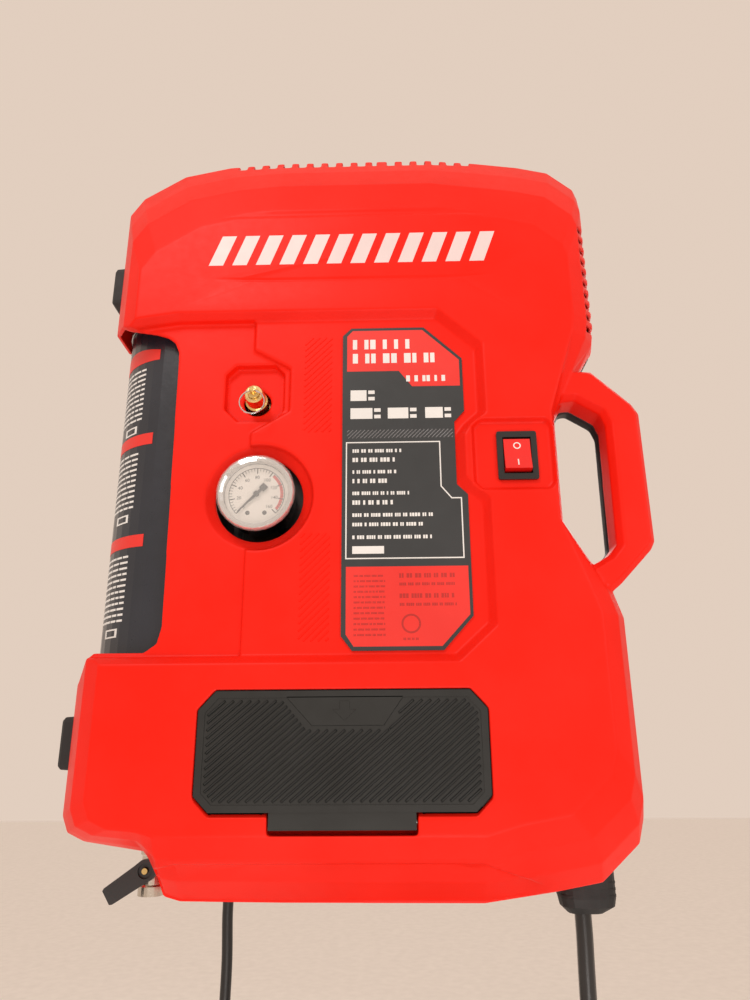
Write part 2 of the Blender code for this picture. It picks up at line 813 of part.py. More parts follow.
boolean(storage_bin, flange, "UNION")
boolean(storage_bin, prism("bin_hollow", grown(bin_outer, -2.5), "Y", FRONT_Y - 5.0, -124.5))
finish(storage_bin, BLACK)

hinge_origin = ((TAB_LEFT + TAB_RIGHT) / 2, HINGE_Y, HINGE_Z)
access_door = prism("access_door", door_outline(0.0), "Y", FRONT_Y, FRONT_Y + 3.0, hinge_origin)
tab = [
    (FRONT_Y, DOOR_BOTTOM + 1.0),
    (FRONT_Y, HINGE_Z - 4.0),
    (FRONT_Y + 2.5, HINGE_Z - 4.0),
    (HINGE_Y + 2.0, HINGE_Z - 3.0),
    (HINGE_Y + 3.4, HINGE_Z),
    (HINGE_Y + 2.0, HINGE_Z + 3.0),
    (FRONT_Y + 3.0, HINGE_Z + 4.5),
    (FRONT_Y + 3.0, DOOR_BOTTOM + 1.0),
]
boolean(access_door, prism("door_tab", tab, "X", TAB_LEFT, TAB_RIGHT), "UNION")
latch_depth = (FRONT_Y + 2.0, FRONT_Y + 9.0)
latch = boxes("door_latch", [((-13.0, 7.0), latch_depth, (DOOR_TOP - 10.0, DOOR_TOP - 7.6))])
boolean(access_door, latch, "UNION")
boolean(
    access_door,
    turned("door_bore", (0.0, HINGE_Y, HINGE_Z), "X", [(1.5, TAB_LEFT - 3.0), (1.5, TAB_RIGHT + 3.0)], 16),
)
finish(access_door, CHARCOAL)
door_pin = turned(
    "door_hinge_pin",
    (0.0, HINGE_Y, HINGE_Z),
    "X",
    [(1.2, TAB_LEFT - 0.4), (1.2, TAB_RIGHT + 0.4)],
    16,
)
finish(door_pin, STEEL)

# ---------------------------------------------------------------- rating label
LABEL = [
    (-5.0, 84.0),
    (1.0, 90.0),
    (52.0, 90.0),
    (78.0, 65.0),
    (78.0, 25.0),
    (71.0, 17.0),
    (71.0, -28.0),
    (78.0, -35.0),
    (78.0, -115.0),
    (59.0, -136.0),
    (2.0, -136.0),
    (-5.0, -127.0),
]
label_plate = prism("rating_label", LABEL, "Y", FRONT_Y + PANEL_DEPTH - 1.3, FRONT_Y + PANEL_DEPTH - GAP)
finish(label_plate, CHARCOAL)

# ---------------------------------------------------------------- rocker switch
SWITCH_FLOOR = FRONT_Y + 4.5
bezel = rounded(
    [
        (SWITCH_X - 13.3, SWITCH_Z - 17.0),
        (SWITCH_X + 13.3, SWITCH_Z - 17.0),
        (SWITCH_X + 13.3, SWITCH_Z + 17.0),
        (SWITCH_X - 13.3, SWITCH_Z + 17.0),
    ],
    1.5,
    2,
)
switch_housing = prism("switch_housing", bezel, "Y", SWITCH_FLOOR - 2.3, SWITCH_FLOOR - GAP)
body = box(
    "switch_body",
    (SWITCH_X - 11.0, SWITCH_X + 11.0),
    (SWITCH_FLOOR - 1.0, SWITCH_FLOOR + 22.0),
    (SWITCH_Z - 14.5, SWITCH_Z + 14.5),
)
boolean(switch_housing, body, "UNION")
well = box(
    "switch_well",
    (SWITCH_X - 9.4, SWITCH_X + 9.4),
    (SWITCH_FLOOR - 5.0, SWITCH_FLOOR + 14.0),
    (SWITCH_Z - 12.9, SWITCH_Z + 12.9),
)
boolean(switch_housing, well)
finish(switch_housing, BLACK)

ROCKER_Y = SWITCH_FLOOR + 4.0
rocker_side = [
    (ROCKER_Y - 5.6, SWITCH_Z + 11.6),
    (ROCKER_Y - 7.4, SWITCH_Z - 1.5),
    (ROCKER_Y - 9.6, SWITCH_Z - 10.4),
    (ROCKER_Y - 3.0, SWITCH_Z - 11.2),
    (ROCKER_Y + 4.0, SWITCH_Z - 4.0),
    (ROCKER_Y + 4.0, SWITCH_Z + 4.0),
    (ROCKER_Y - 1.0, SWITCH_Z + 11.6),
]
rocker = prism(
    "switch_rocker",
    rocker_side,
    "X",
    SWITCH_X - 8.8,
    SWITCH_X + 8.8,
    (SWITCH_X, ROCKER_Y, SWITCH_Z),
)
finish(rocker, RED)

# ---------------------------------------------------------------- pressure gauge
MANIFOLD_X = (-70.0, -50.0)
MANIFOLD_Y = (-168.0, -142.0)
GAUGE_STEM = MANIFOLD_Y[0] - GAP - FRONT_Y
case = turned_ring(
    "gauge_case",
    (GAUGE_X, FRONT_Y, GAUGE_Z),
    "Y",
    [
        (0.6, 25.5), (0.6, 4.6), (21.6, 4.6), (21.6, -2.2), (23.2, -3.0), (24.6, -2.6),
        (GAUGE_RADIUS, -1.0), (GAUGE_RADIUS, 3.0), (24.0, 4.0), (24.0, 20.0), (21.0, 22.0), (5.5, 22.0),
        (5.5, GAUGE_STEM), (2.0, GAUGE_STEM), (2.0, 25.5),
    ],
    24,
)
finish(case, STEEL)
dial = turned(
    "gauge_dial",
    (GAUGE_X, FRONT_Y, GAUGE_Z),
    "Y",
    [(21.3, 3.3), (21.3, 4.3)],
    40,
)
boolean(dial, turned("dial_bore", (GAUGE_X, FRONT_Y, GAUGE_Z), "Y", [(0.9, 2.0), (0.9, 6.0)], 12))
finish(dial, WHITE)
NEEDLE_ANGLE = math.radians(225.0)
needle_dir = Vector((math.cos(NEEDLE_ANGLE), math.sin(NEEDLE_ANGLE)))
needle_side = Vector((-needle_dir.y, needle_dir.x))
hub = Vector((GAUGE_X, GAUGE_Z))
needle_points = [
    hub + needle_dir * 17.0 + needle_side * 0.25,
    hub + needle_dir * 2.0 + needle_side * 0.9,
    hub + needle_dir * -4.0 + needle_side * 0.9,
    hub + needle_dir * -4.6 + needle_side * 2.2,
    hub + needle_dir * -8.6 + needle_side * 2.2,
    hub + needle_dir * -8.6 - needle_side * 2.2,
    hub + needle_dir * -4.6 - needle_side * 2.2,
    hub + needle_dir * -4.0 - needle_side * 0.9,
    hub + needle_dir * 2.0 - needle_side * 0.9,
    hub + needle_dir * 17.0 - needle_side * 0.25,
]
pointer = prism(
    "gauge_pointer",
    [(p.x, p.y) for p in needle_points],
    "Y",
    FRONT_Y + 1.5,
    FRONT_Y + 2.1,
    (GAUGE_X, FRONT_Y + 2.0, GAUGE_Z),
)
boolean(
    pointer,
    turned("pointer_hub", (GAUGE_X, FRONT_Y, GAUGE_Z), "Y", [(1.9, 0.9), (1.9, 2.4)], 16),
    "UNION",
)
boolean(
    pointer,
    turned("pointer_arbor", (GAUGE_X, FRONT_Y, GAUGE_Z), "Y", [(0.4, 1.4), (0.4, 20.0)], 12),
    "UNION",
)
finish(pointer, BLACK)
lens = turned("gauge_lens", (GAUGE_X, FRONT_Y, GAUGE_Z), "Y", [(21.3, -0.9), (21.3, 0.1)], 40)
finish(lens, GLASS)

# ---------------------------------------------------------------- manifold and relief valve
manifold = box("manifold_block", MANIFOLD_X, MANIFOLD_Y, (-52.0, 56.0))
nipple = turned("tank_nipple", (0.0, -147.0, 6.0), "X", [(6.0, -84.0), (6.0, -69.0)], 20)
boolean(manifold, nipple, "UNION")
boolean(
    manifold,
    turned(
        "tank_clearance",
        (TANK_X, TANK_Y, 0.0),
        "Z",
        [(TANK_RADIUS + GAP, -60.0), (TANK_RADIUS + GAP, 60.0)],
        48,
    ),
)
finish(manifold, BRASS)
relief_base = FRONT_Y + 11.0
relief_body = turned_ring(
    "relief_valve_body",
    (RELIEF_X, 0.0, RELIEF_Z),
    "Y",
    [
        (2.2, FRONT_Y - 1.0),
        (2.2, MANIFOLD_Y[0] - 4.0),
        (5.5, MANIFOLD_Y[0] - GAP),
        (7.4, MANIFOLD_Y[0] - 6.0),
        (7.8, relief_base),
        (6.6, relief_base - 1.0),
        (6.6, FRONT_Y),
        (5.8, FRONT_Y - 1.0),
    ],
    24,
)
finish(relief_body, BRASS)
relief_origin = (RELIEF_X, FRONT_Y - 3.0, RELIEF_Z)
relief_pin = turned(
    "relief_pin",
    (RELIEF_X, 0.0, RELIEF_Z),
    "Y",
    [
        (1.2, FRONT_Y - 8.0), (2.0, FRONT_Y - 7.6), (2.0, FRONT_Y - 3.0), (4.2, FRONT_Y - 2.6),
        (4.2, FRONT_Y - 1.4), (1.8, FRONT_Y - 1.4), (1.8, FRONT_Y + 20.0),
    ],
    18,
    relief_origin,
)
boolean(
    relief_pin,
    turned(
        "pin_eye", (0.0, FRONT_Y - 5.4, RELIEF_Z), "X", [(0.95, RELIEF_X - 5.0), (0.95, RELIEF_X + 5.0)], 12
    ),
)
finish(relief_pin, BRASS)
RING_RADIUS = 8.5
ring_bm = bmesh.new()
ring_profile = [
    (RING_RADIUS + 0.6 * math.cos(math.tau * k / 6), 0.6 * math.sin(math.tau * k / 6))
    for k in range(6)
]
add_turned_ring(ring_bm, (0.0, 0.0, 0.0), "Z", ring_profile, 20)
# the ring passes through the eye along X there and hangs down across the valve's face
ring_bm.transform(Matrix.Rotation(math.radians(90.0), 4, "X"))
ring_bm.transform(Matrix.Translation((RELIEF_X, FRONT_Y - 5.4, RELIEF_Z - RING_RADIUS)))
relief_ring = link("relief_ring", ring_bm, (RELIEF_X, FRONT_Y - 5.4, RELIEF_Z))
finish(relief_ring, STEEL)

# ---------------------------------------------------------------- tank
half_tank = TANK_CYLINDER / 2
head = [
    (TANK_RADIUS * math.cos(math.radians(a)), TANK_HEAD * math.sin(math.radians(a)))
    for a in (0, 20, 40, 58, 74)
]
tank_profile = [(r, -half_tank - h) for r, h in reversed(head)] + [(r, half_tank + h) for r, h in head]
tank = turned("air_tank", (TANK_X, TANK_Y, TANK_Z), "Z", tank_profile, 36)
inner = [(max(r - 2.0, 4.0), h * 0.98) for r, h in tank_profile[::2] + tank_profile[-1:]]
boolean(tank, turned("tank_hollow", (TANK_X, TANK_Y, TANK_Z), "Z", inner, 20))
TANK_TOP = TANK_Z + half_tank + head[-1][1]
TANK_FOOT = TANK_Z - half_tank - head[-1][1]
boolean(
    tank,
    turned("tank_ports", (TANK_X, TANK_Y, 0.0), "Z", [(4.0, TANK_FOOT - 5.0), (4.0, TANK_TOP + 5.0)], 20),
)
finish(tank, TANK_PAINT)
STRAP_FOOT_Y = (TANK_Y + TANK_RADIUS + 0.6, BACK_Y - WALL - GAP)
for label, z in (("top", 114.0), ("bottom", -149.0)):
    strap = turned_ring(
        "tank_strap_" + label,
        (TANK_X, TANK_Y, z),
        "Z",
        [
            (TANK_RADIUS + GAP, -6.0),
            (TANK_RADIUS + 1.1, -6.0),
            (TANK_RADIUS + 1.1, 6.0),
            (TANK_RADIUS + GAP, 6.0),
        ],
        36,
    )
    strap_foot = ((TANK_X - 12.0, TANK_X + 12.0), STRAP_FOOT_Y, (z - 6.0, z + 6.0))
    boolean(strap, boxes("strap_foot_" + label, [strap_foot]), "UNION")
    finish(strap, STEEL)
check_valve = turned(
    "check_valve",
    (TANK_X, TANK_Y, TANK_TOP + GAP),
    "Z",
    [(8.0, 0.0), (8.0, 8.0), (10.5, 8.5), (10.5, 17.0), (6.5, 18.0), (6.5, 26.0)],
    18,
)
finish(check_valve, BRASS)

# ---------------------------------------------------------------- drain valve
nip_top = TANK_FOOT - GAP
drain_body = turned_ring(
    "drain_valve_body",
    (DRAIN_X + 1.0, DRAIN_Y, 0.0),
    "Z",
    [
        (3.0, nip_top), (3.0, -281.0), (8.3, -281.0), (8.3, -275.5), (7.0, -274.5), (7.0, -258.0),
        (8.0, -257.0), (8.0, -252.0), (5.2, -251.0), (5.2, nip_top),
    ],
    24,
)
boss_profile = [(5.6, DRAIN_Y - 11.0), (5.6, DRAIN_Y - 4.0)]
boss = turned("drain_boss", (DRAIN_X + 1.0, 0.0, DRAIN_Z), "Y", boss_profile, 20)
boolean(drain_body, boss, "UNION")
ball_seat = turned(
    "ball_seat",
    (DRAIN_X + 1.0, 0.0, DRAIN_Z),
    "Y",
    [
        (2.3, DRAIN_Y - 20.0),
        (2.3, DRAIN_Y - 4.7),
        (5.0, DRAIN_Y - 2.6),
        (5.6, DRAIN_Y),
        (4.9, DRAIN_Y + 2.4),
        (2.0, DRAIN_Y + 5.0),
    ],
    20,
)
boolean(drain_body, ball_seat)
finish(drain_body, NICKEL)
drain_axis = (DRAIN_X + 1.0, DRAIN_Y - 14.0, DRAIN_Z)
drain_ball = turned(
    "drain_valve_ball",
    (DRAIN_X + 1.0, 0.0, DRAIN_Z),
    "Y",
    [
        (1.8, DRAIN_Y - 17.5), (1.8, DRAIN_Y - 4.0), (4.4, DRAIN_Y - 2.2), (5.1, DRAIN_Y),
        (4.4, DRAIN_Y + 2.2), (2.0, DRAIN_Y + 4.2),
    ],
    20,
    drain_axis,
)
finish(drain_ball, BRASS)
lever_angle = math.radians(180.0 - DRAIN_LEVER_ANGLE)
along_lever = Vector((math.cos(lever_angle), math.sin(lever_angle)))
across = Vector((-along_lever.y, along_lever.x))
pivot = Vector((DRAIN_X + 1.0, DRAIN_Z))
outline = []
for reach, width in ((27.5, 4.6), (26.0, 5.4), (4.0, 6.2), (-1.0, 6.6), (-5.5, 4.6), (-7.0, 1.8)):
    outline.append(pivot + along_lever * reach + across * width)
for reach, width in ((-7.0, 1.8), (-5.5, 4.6), (-1.0, 6.6), (4.0, 6.2), (26.0, 5.4), (27.5, 4.6)):
    outline.append(pivot + along_lever * reach - across * width)
lever = prism(
    "drain_valve_lever",
    [(p.x, p.y) for p in outline],
    "Y",
    DRAIN_Y - 16.5,
    DRAIN_Y - 11.3,
    drain_axis,
)
boolean(
    lever,
    turned(
        "lever_bore", (DRAIN_X + 1.0, 0.0, DRAIN_Z), "Y", [(2.1, DRAIN_Y - 25.0), (2.1, DRAIN_Y - 5.0)], 16
    ),
)
boolean(
    lever,
    turned(
        "lever_dish", (DRAIN_X + 1.0, 0.0, DRAIN_Z), "Y", [(4.6, DRAIN_Y - 25.0), (4.6, DRAIN_Y - 15.0)], 20
    ),
)
finish(lever, BLACK)

# ---------------------------------------------------------------- motor and pump
stator = turned_ring(
    "motor_stator",
    (0.0, MOTOR_Y, MOTOR_Z),
    "X",
    [
        (26.5, 22.0), (30.0, 12.0), (40.0, 12.0), (42.0, 22.0), (48.0, 22.0),
        (48.0, 78.0), (42.0, 78.0), (40.0, 88.0), (30.0, 88.0), (26.5, 78.0),
    ],
    20,
)
finish(stator, STEEL)
shaft_origin = (CRANK_X, MOTOR_Y, MOTOR_Z)
rotor = turned(
    "motor_rotor",
    (0.0, MOTOR_Y, MOTOR_Z),
    "X",
    [
        (SHAFT_RADIUS, -15.0), (SHAFT_RADIUS, 24.0), (25.7, 24.0), (25.7, 76.0),
        (SHAFT_RADIUS, 76.0), (SHAFT_RADIUS, 132.0),
    ],
    20,
    shaft_origin,
)
finish(rotor, STEEL)
bm = bmesh.new()
fan_bore = SHAFT_RADIUS + GAP
fan_hub = [(fan_bore, 104.0), (16.0, 104.0), (16.0, 126.0), (fan_bore, 126.0)]
add_turned_ring(bm, (0.0, MOTOR_Y, MOTOR_Z), "X", fan_hub, 20)
fan = link("cooling_fan", bm, shaft_origin)
blades = bmesh.new()
for i in range(7):
    blade = bmesh.new()
    add_prism(
        blade,
        [(14.0, -1.0), (50.0, -1.0), (52.0, 1.0), (14.0, 1.0)],
        "X",
        -11.0,
        11.0,
    )
    blade.transform(Matrix.Rotation(math.radians(32.0), 4, "Y"))
    blade.transform(Matrix.Rotation(math.tau * i / 7, 4, "X"))
    blade.transform(Matrix.Translation((115.0, MOTOR_Y, MOTOR_Z)))
    mesh = bpy.data.meshes.new("blade")
    blade.to_mesh(mesh)
    blade.free()
    blades.from_mesh(mesh)
    bpy.data.meshes.remove(mesh)
boolean(fan, link("fan_blades", blades), "UNION")
finish(fan, BLACK)

eccentric = turned_ring(
    "eccentric",
    (0.0, MOTOR_Y, MOTOR_Z),
    "X",
    [(SHAFT_RADIUS + GAP, -13.0), (SHAFT_RADIUS + GAP, 10.0), (12.0, 10.0), (12.0, -13.0)],
    20,
    shaft_origin,
)
pin_bm = bmesh.new()
add_prism(
    pin_bm,
    circle(MOTOR_Y, MOTOR_Z - 0.5, 22.0, 24)[12:] + [(MOTOR_Y + 22.0, MOTOR_Z - 0.5)],
    "X",
    0.2,
    9.0,
)
boolean(eccentric, link("counterweight", pin_bm), "UNION")
boolean(
    eccentric,
    turned("crank_web", (0.0, MOTOR_Y, MOTOR_Z), "X", [(13.5, -18.5), (13.5, -11.0)], 24),
    "UNION",
)
boolean(
    eccentric,
    turned("crank_pin", (0.0, MOTOR_Y, MOTOR_Z + CRANK_THROW), "X", [(5.0, -34.0), (5.0, -17.0)], 20),
    "UNION",
)
boolean(
    eccentric,
    turned(
        "shaft_bore",
        (0.0, MOTOR_Y, MOTOR_Z),
        "X",
        [(SHAFT_RADIUS + GAP, -15.5), (SHAFT_RADIUS + GAP, 20.0)],
        20,
    ),
)
finish(eccentric, STEEL)

ROD_X = -27.0
rod = turned_ring(
    "connecting_rod",
    (0.0, MOTOR_Y, MOTOR_Z + CRANK_THROW),
    "X",
    [(19.5, ROD_X - 5.0), (25.0, ROD_X - 5.0), (25.0, ROD_X + 5.0), (19.5, ROD_X + 5.0)],
    20,
)
CYLINDER_RADIUS = 25.0
PISTON_Z = MOTOR_Z + 73.0
boolean(
    rod,
    box(
        "rod_shank",
        (ROD_X - 4.0, ROD_X + 4.0),
        (MOTOR_Y - 5.0, MOTOR_Y + 5.0),
        (MOTOR_Z + 29.5, PISTON_Z + 2.0),
    ),
    "UNION",
)
boolean(
    rod,
    turned(
        "piston_cup",
        (ROD_X, MOTOR_Y, PISTON_Z),
        "Z",
        [(16.0, 0.0), (CYLINDER_RADIUS - 0.6, 3.0), (CYLINDER_RADIUS - 0.6, 9.0)],
        20,
    ),
    "UNION",
)
finish(rod, ALUMINIUM)

frame = box("motor_frame", (-6.0, 0.0), (MOTOR_Y - 50.0, -34.0), (MOTOR_Z - 50.0, MOTOR_Z + 38.0))
boolean(
    frame,
    turned("frame_bearing", (0.0, MOTOR_Y, MOTOR_Z), "X", [(22.6, -12.0), (22.6, 12.0)], 20),
)
base_plate = box("frame_base", (-58.0, 100.0), (-37.0, -34.0), (MOTOR_Z - 50.0, MOTOR_Z + 50.0))
boolean(frame, base_plate, "UNION")
shelf = boxes(
    "frame_shelf",
    [
        ((-58.0, -3.0), (MOTOR_Y - 30.0, -35.0), (MOTOR_Z + 32.0, MOTOR_Z + 38.0)),
        ((92.5, 97.5), (MOTOR_Y - 50.0, -35.0), (MOTOR_Z - 50.0, MOTOR_Z + 40.0)),
    ],
)
boolean(frame, shelf, "UNION")
boolean(
    frame,
    turned(
        "shelf_bore",
        (ROD_X, MOTOR_Y, 0.0),
        "Z",
        [(CYLINDER_RADIUS, MOTOR_Z + 25.0), (CYLINDER_RADIUS, MOTOR_Z + 45.0)],
        20,
    ),
)
boolean(
    frame,
    turned("rear_bearing_bore", (0.0, MOTOR_Y, MOTOR_Z), "X", [(13.4, 85.0), (13.4, 110.0)], 20),
)
finish(frame, ALUMINIUM)
BEARING_HALF_WIDTH = 2.6
for label, x, bore, outer_r in (("front", -3.0, 12.3, 22.3), ("rear", 95.0, SHAFT_RADIUS + GAP, 13.1)):
    bearing = turned_ring(
        "bearing_" + label,
        (x, MOTOR_Y, MOTOR_Z),
        "X",
        [
            (bore, -BEARING_HALF_WIDTH),
            (outer_r, -BEARING_HALF_WIDTH),
            (outer_r, BEARING_HALF_WIDTH),
            (bore, BEARING_HALF_WIDTH),
        ],
        20,
    )
    finish(bearing, STEEL)
for label, dz in (("lower", -42.0), ("upper", 42.0)):
    strip = [
        (-33.7, MOTOR_Z + dz - 8.0), (-28.0, MOTOR_Z + dz - 5.5), (-23.0, MOTOR_Z + dz - 5.5),
        (BACK_Y - WALL - GAP, MOTOR_Z + dz - 8.0), (BACK_Y - WALL - GAP, MOTOR_Z + dz + 8.0),
        (-23.0, MOTOR_Z + dz + 5.5), (-28.0, MOTOR_Z + dz + 5.5), (-33.7, MOTOR_Z + dz + 8.0),
    ]
    finish(prism("motor_mount_" + label, strip, "X", -56.0, 78.0), RUBBER)

cylinder = turned_ring(
    "pump_cylinder",
    (ROD_X, MOTOR_Y, 0.0),
    "Z",
    [
        (CYLINDER_RADIUS, MOTOR_Z + 38.3), (CYLINDER_RADIUS, MOTOR_Z + 84.0), (31.0, MOTOR_Z + 84.0),
        (31.0, MOTOR_Z + 80.0), (27.5, MOTOR_Z + 80.0), (27.5, MOTOR_Z + 42.0), (31.0, MOTOR_Z + 42.0),
        (31.0, MOTOR_Z + 38.3),
    ],
    20,
)
finish(cylinder, ALUMINIUM)
PLATE_Z = MOTOR_Z + 84.3
square = rounded(
    [
        (ROD_X - 33.0, MOTOR_Y - 33.0),
        (ROD_X + 33.0, MOTOR_Y - 33.0),
        (ROD_X + 33.0, MOTOR_Y + 33.0),
        (ROD_X - 33.0, MOTOR_Y + 33.0),
    ],
    7.0,
    3,
)
valve_plate = prism("valve_plate", square, "Z", PLATE_Z, PLATE_Z + 4.0)
for label, dx in (("inlet", -10.0), ("outlet", 10.0)):
    boolean(
        valve_plate,
        turned("plate_port_" + label, (ROD_X + dx, MOTOR_Y, PLATE_Z), "Z", [(4.0, -3.0), (4.0, 8.0)], 16),
    )
finish(valve_plate, STEEL)
HEAD_Z = PLATE_Z + 4.3
head_body = prism("cylinder_head", square, "Z", HEAD_Z, HEAD_Z + 14.0)
fins = boxes(
    "head_fin_gaps",
    [
        (
            (ROD_X - 40.0, ROD_X + 40.0),
            (MOTOR_Y - 27.0 + 12.0 * i, MOTOR_Y - 21.0 + 12.0 * i),
            (HEAD_Z + 8.0, HEAD_Z + 20.0),
        )
        for i in range(5)
    ],
)
boolean(head_body, fins)
finish(head_body, ALUMINIUM)
intake = turned(
    "intake_filter",
    (ROD_X + 33.3, MOTOR_Y, HEAD_Z + 4.0),
    "X",
    [(4.0, 0.0), (4.0, 5.0), (15.0, 6.0), (15.0, 24.0), (13.0, 26.0)],
    24,
)
boolean(
    intake,
    boxes(
        "filter_flat",
        [((ROD_X + 30.0, ROD_X + 70.0), (MOTOR_Y - 20.0, MOTOR_Y + 20.0), (HEAD_Z - 20.0, HEAD_Z - 8.0))],
    ),
)
finish(intake, BLACK)
tube(
    "discharge_pipe",
    [
        (ROD_X - 33.5, MOTOR_Y, HEAD_Z + 4.0),
        (ROD_X - 50.0, MOTOR_Y - 1.0, HEAD_Z + 4.0),
        (ROD_X - 75.0, MOTOR_Y - 8.0, HEAD_Z - 2.0),
        (TANK_X + 8.0, TANK_Y + 8.0, TANK_TOP + 66.0),
        (TANK_X, TANK_Y, TANK_TOP + 45.0),
        (TANK_X, TANK_Y, TANK_TOP + 26.8),
    ],
    7.0,
    COPPER,
)

# ---------------------------------------------------------------- controls inside
pressure_switch = box("pressure_switch", (-49.7, -8.0), (-166.0, -124.0), (-50.0, 4.0))
boolean(
    pressure_switch,
    boxes("switch_step", [((-26.0, 0.0), (-170.0, -150.0), (-60.0, 20.0))]),
)
finish(pressure_switch, BLACK)
tube(
    "supply_hose",
    [
        (-60.0, MANIFOLD_Y[1] + 1.8, -42.0),
        (-60.0, -124.0, -42.0),
        (-40.0, -104.0, -80.0),
        (20.0, -92.0, -150.0),
        (95.0, -92.0, -205.0),
        (143.0, -112.0, -232.0),
        (HOSE_X + 3.0, HOSE_Y, -248.0),
        (HOSE_X + 3.0, HOSE_Y, -256.6),
    ],
    9.5,
    BLACK,
)

# ---------------------------------------------------------------- air hose
BOOT_X = 149.0
boot_rings = []
for z, scale, shift in (
    (-258.0, 1.0, 0.0),
    (-284.0, 1.0, 0.0),
    (-289.0, 0.94, 0.0),
    (HOSE_TOP_Z, 0.62, -1.5),
):
    ring = [
        (BOOT_X + (x - BOOT_X) * scale + shift, HOSE_Y + (y - HOSE_Y) * scale, z) for x, y in BOOT_OUTLINE
    ]
    boot_rings.append(ring)
bm = bmesh.new()
add_loft(bm, boot_rings)
hose_boot = link("hose_boot", bm)
finish(hose_boot, RUBBER)


class Coil:
    """A cord wound in rows and layers; it comes in and leaves along its outermost turn."""

    def __init__(self, radius, pitch, rows, layers, entry_x, entry_y, z, side):
        self.radius = radius
        self.half_r = layers * pitch / 2 + 0.1
        self.half_y = rows * pitch / 2 + 0.1
        self.outer = radius + (layers - 1) * pitch / 2
        self.x = entry_x - side * self.outer
        self.y = entry_y + (rows - 1) * pitch / 2
        self.z = z
        self.exit_y = entry_y + (rows - 1) * pitch

    def rim(self, half_width):
        """How far from the centre's height a straight piece on the outermost turn clears the rim."""
        return math.sqrt((self.radius + self.half_r) ** 2 - (self.outer - half_width) ** 2) + 0.8

    def solid(self, name, look):
        """The outer shape of the turns: a turned ring with eased edges."""
        low, high = self.radius - self.half_r, self.radius + self.half_r
        depth = self.half_y
        e = min(self.half_r, self.half_y) * 0.35
        profile = [
            (low, -depth + e),
            (low + e, -depth),
            (high - e, -depth),
            (high, -depth + e),
            (high, depth - e),
            (high - e, depth),
            (low + e, depth),
            (low, depth - e),
        ]
        return finish(turned_ring(name, (self.x, self.y, self.z), "Y", profile, 28), look)


hose_wound = Coil(HOSE_COIL_RADIUS, HOSE_PITCH, HOSE_ROWS, HOSE_LAYERS, HOSE_X, HOSE_Y, HOSE_COIL_Z, 1.0)
tube(
    "air_hose",
    [
        (HOSE_X, HOSE_Y, HOSE_TOP_Z - 0.6),
        (HOSE_X, HOSE_Y, HOSE_TOP_Z - 14.0),
        (HOSE_X - 0.6, HOSE_Y, HOSE_TOP_Z - 34.0),
        (HOSE_X - 1.0, HOSE_Y, HOSE_TOP_Z - 60.0),
        (HOSE_X - 0.5, HOSE_Y, HOSE_TOP_Z - 90.0),
        (HOSE_X, HOSE_Y, HOSE_COIL_Z + hose_wound.rim(HOSE_DIAMETER / 2)),
    ],
    HOSE_DIAMETER,
    BLACK,
    20.0,
)


hose_wound.solid("hose_coil", BLACK)
TAIL_Y = hose_wound.exit_y
COUPLER_TOP = HOSE_COIL_Z - hose_wound.rim(6.5)
coupler = turned_ring(
    "coupler_body",
    (HOSE_X, TAIL_Y, COUPLER_TOP),
    "Z",
    [
        (3.2, -8.0), (3.2, -52.0), (8.0, -52.0), (8.0, -26.0), (11.0, -26.0), (11.0, -16.0),
        (8.5, -15.0), (6.5, -14.0), (6.5, 0.0), (2.0, 0.0), (2.0, -8.0),
    ],
    24,
)
finish(coupler, BRASS)
sleeve = turned_ring(
    "coupler_sleeve",
    (HOSE_X, TAIL_Y, COUPLER_TOP),
    "Z",
    [(8.4, -50.0), (8.4, -33.0), (11.5, -33.0), (12.3, -35.0), (12.3, -47.0), (11.5, -50.0)],
    24,
    (HOSE_X, TAIL_Y, COUPLER_TOP - 40.0),
)
finish(sleeve, NICKEL)

# ---------------------------------------------------------------- power cord
gland = turned(
    "cord_gland",
    (CORD_X, CORD_Y, 0.0),
    "Z",
    [(10.5, -262.0), (10.5, -266.0), (8.0, -266.5), (8.0, -280.0), (7.4, -284.0), (5.4, CORD_TOP_Z)],
    24,
)
finish(gland, BLACK)
cord_wound = Coil(CORD_COIL_RADIUS, CORD_PITCH, CORD_ROWS, CORD_LAYERS, CORD_X, CORD_Y, CORD_COIL_Z, -1.0)
tube(
    "power_cord",
    [
        (CORD_X, CORD_Y, CORD_TOP_Z - GAP),
        (CORD_X - 0.4, CORD_Y, CORD_TOP_Z - 20.0),
        (CORD_X + 0.8, CORD_Y, CORD_TOP_Z - 50.0),
        (CORD_X + 0.6, CORD_Y, CORD_TOP_Z - 80.0),
        (CORD_X, CORD_Y, CORD_COIL_Z + cord_wound.rim(CORD_DIAMETER / 2)),
    ],
    CORD_DIAMETER,
    BLACK,
    16.0,
)
cord_wound.solid("cord_coil", BLACK)
PLUG_X, PLUG_Y = CORD_X, cord_wound.exit_y
plug_top = CORD_COIL_Z - cord_wound.rim(5.5)
plug_rings = []
for z, hx, hy in (
    (0.0, 5.0, 5.0),
    (-14.0, 8.0, 6.5),
    (-20.0, 12.5, 10.0),
    (-36.0, 14.0, 11.5),
    (-38.0, 13.0, 10.5),
):
    corner = [(-hx, -hy), (hx, -hy), (hx, hy), (-hx, hy)]
    ring = rounded(corner, min(hx, hy) * 0.8, 3)
    plug_rings.append([(PLUG_X + x, PLUG_Y + y, plug_top + z) for x, y in ring])
bm = bmesh.new()
add_loft(bm, plug_rings)
plug = link("plug_body", bm)
finish(plug, BLACK)
PIN_Z = plug_top - 38.0
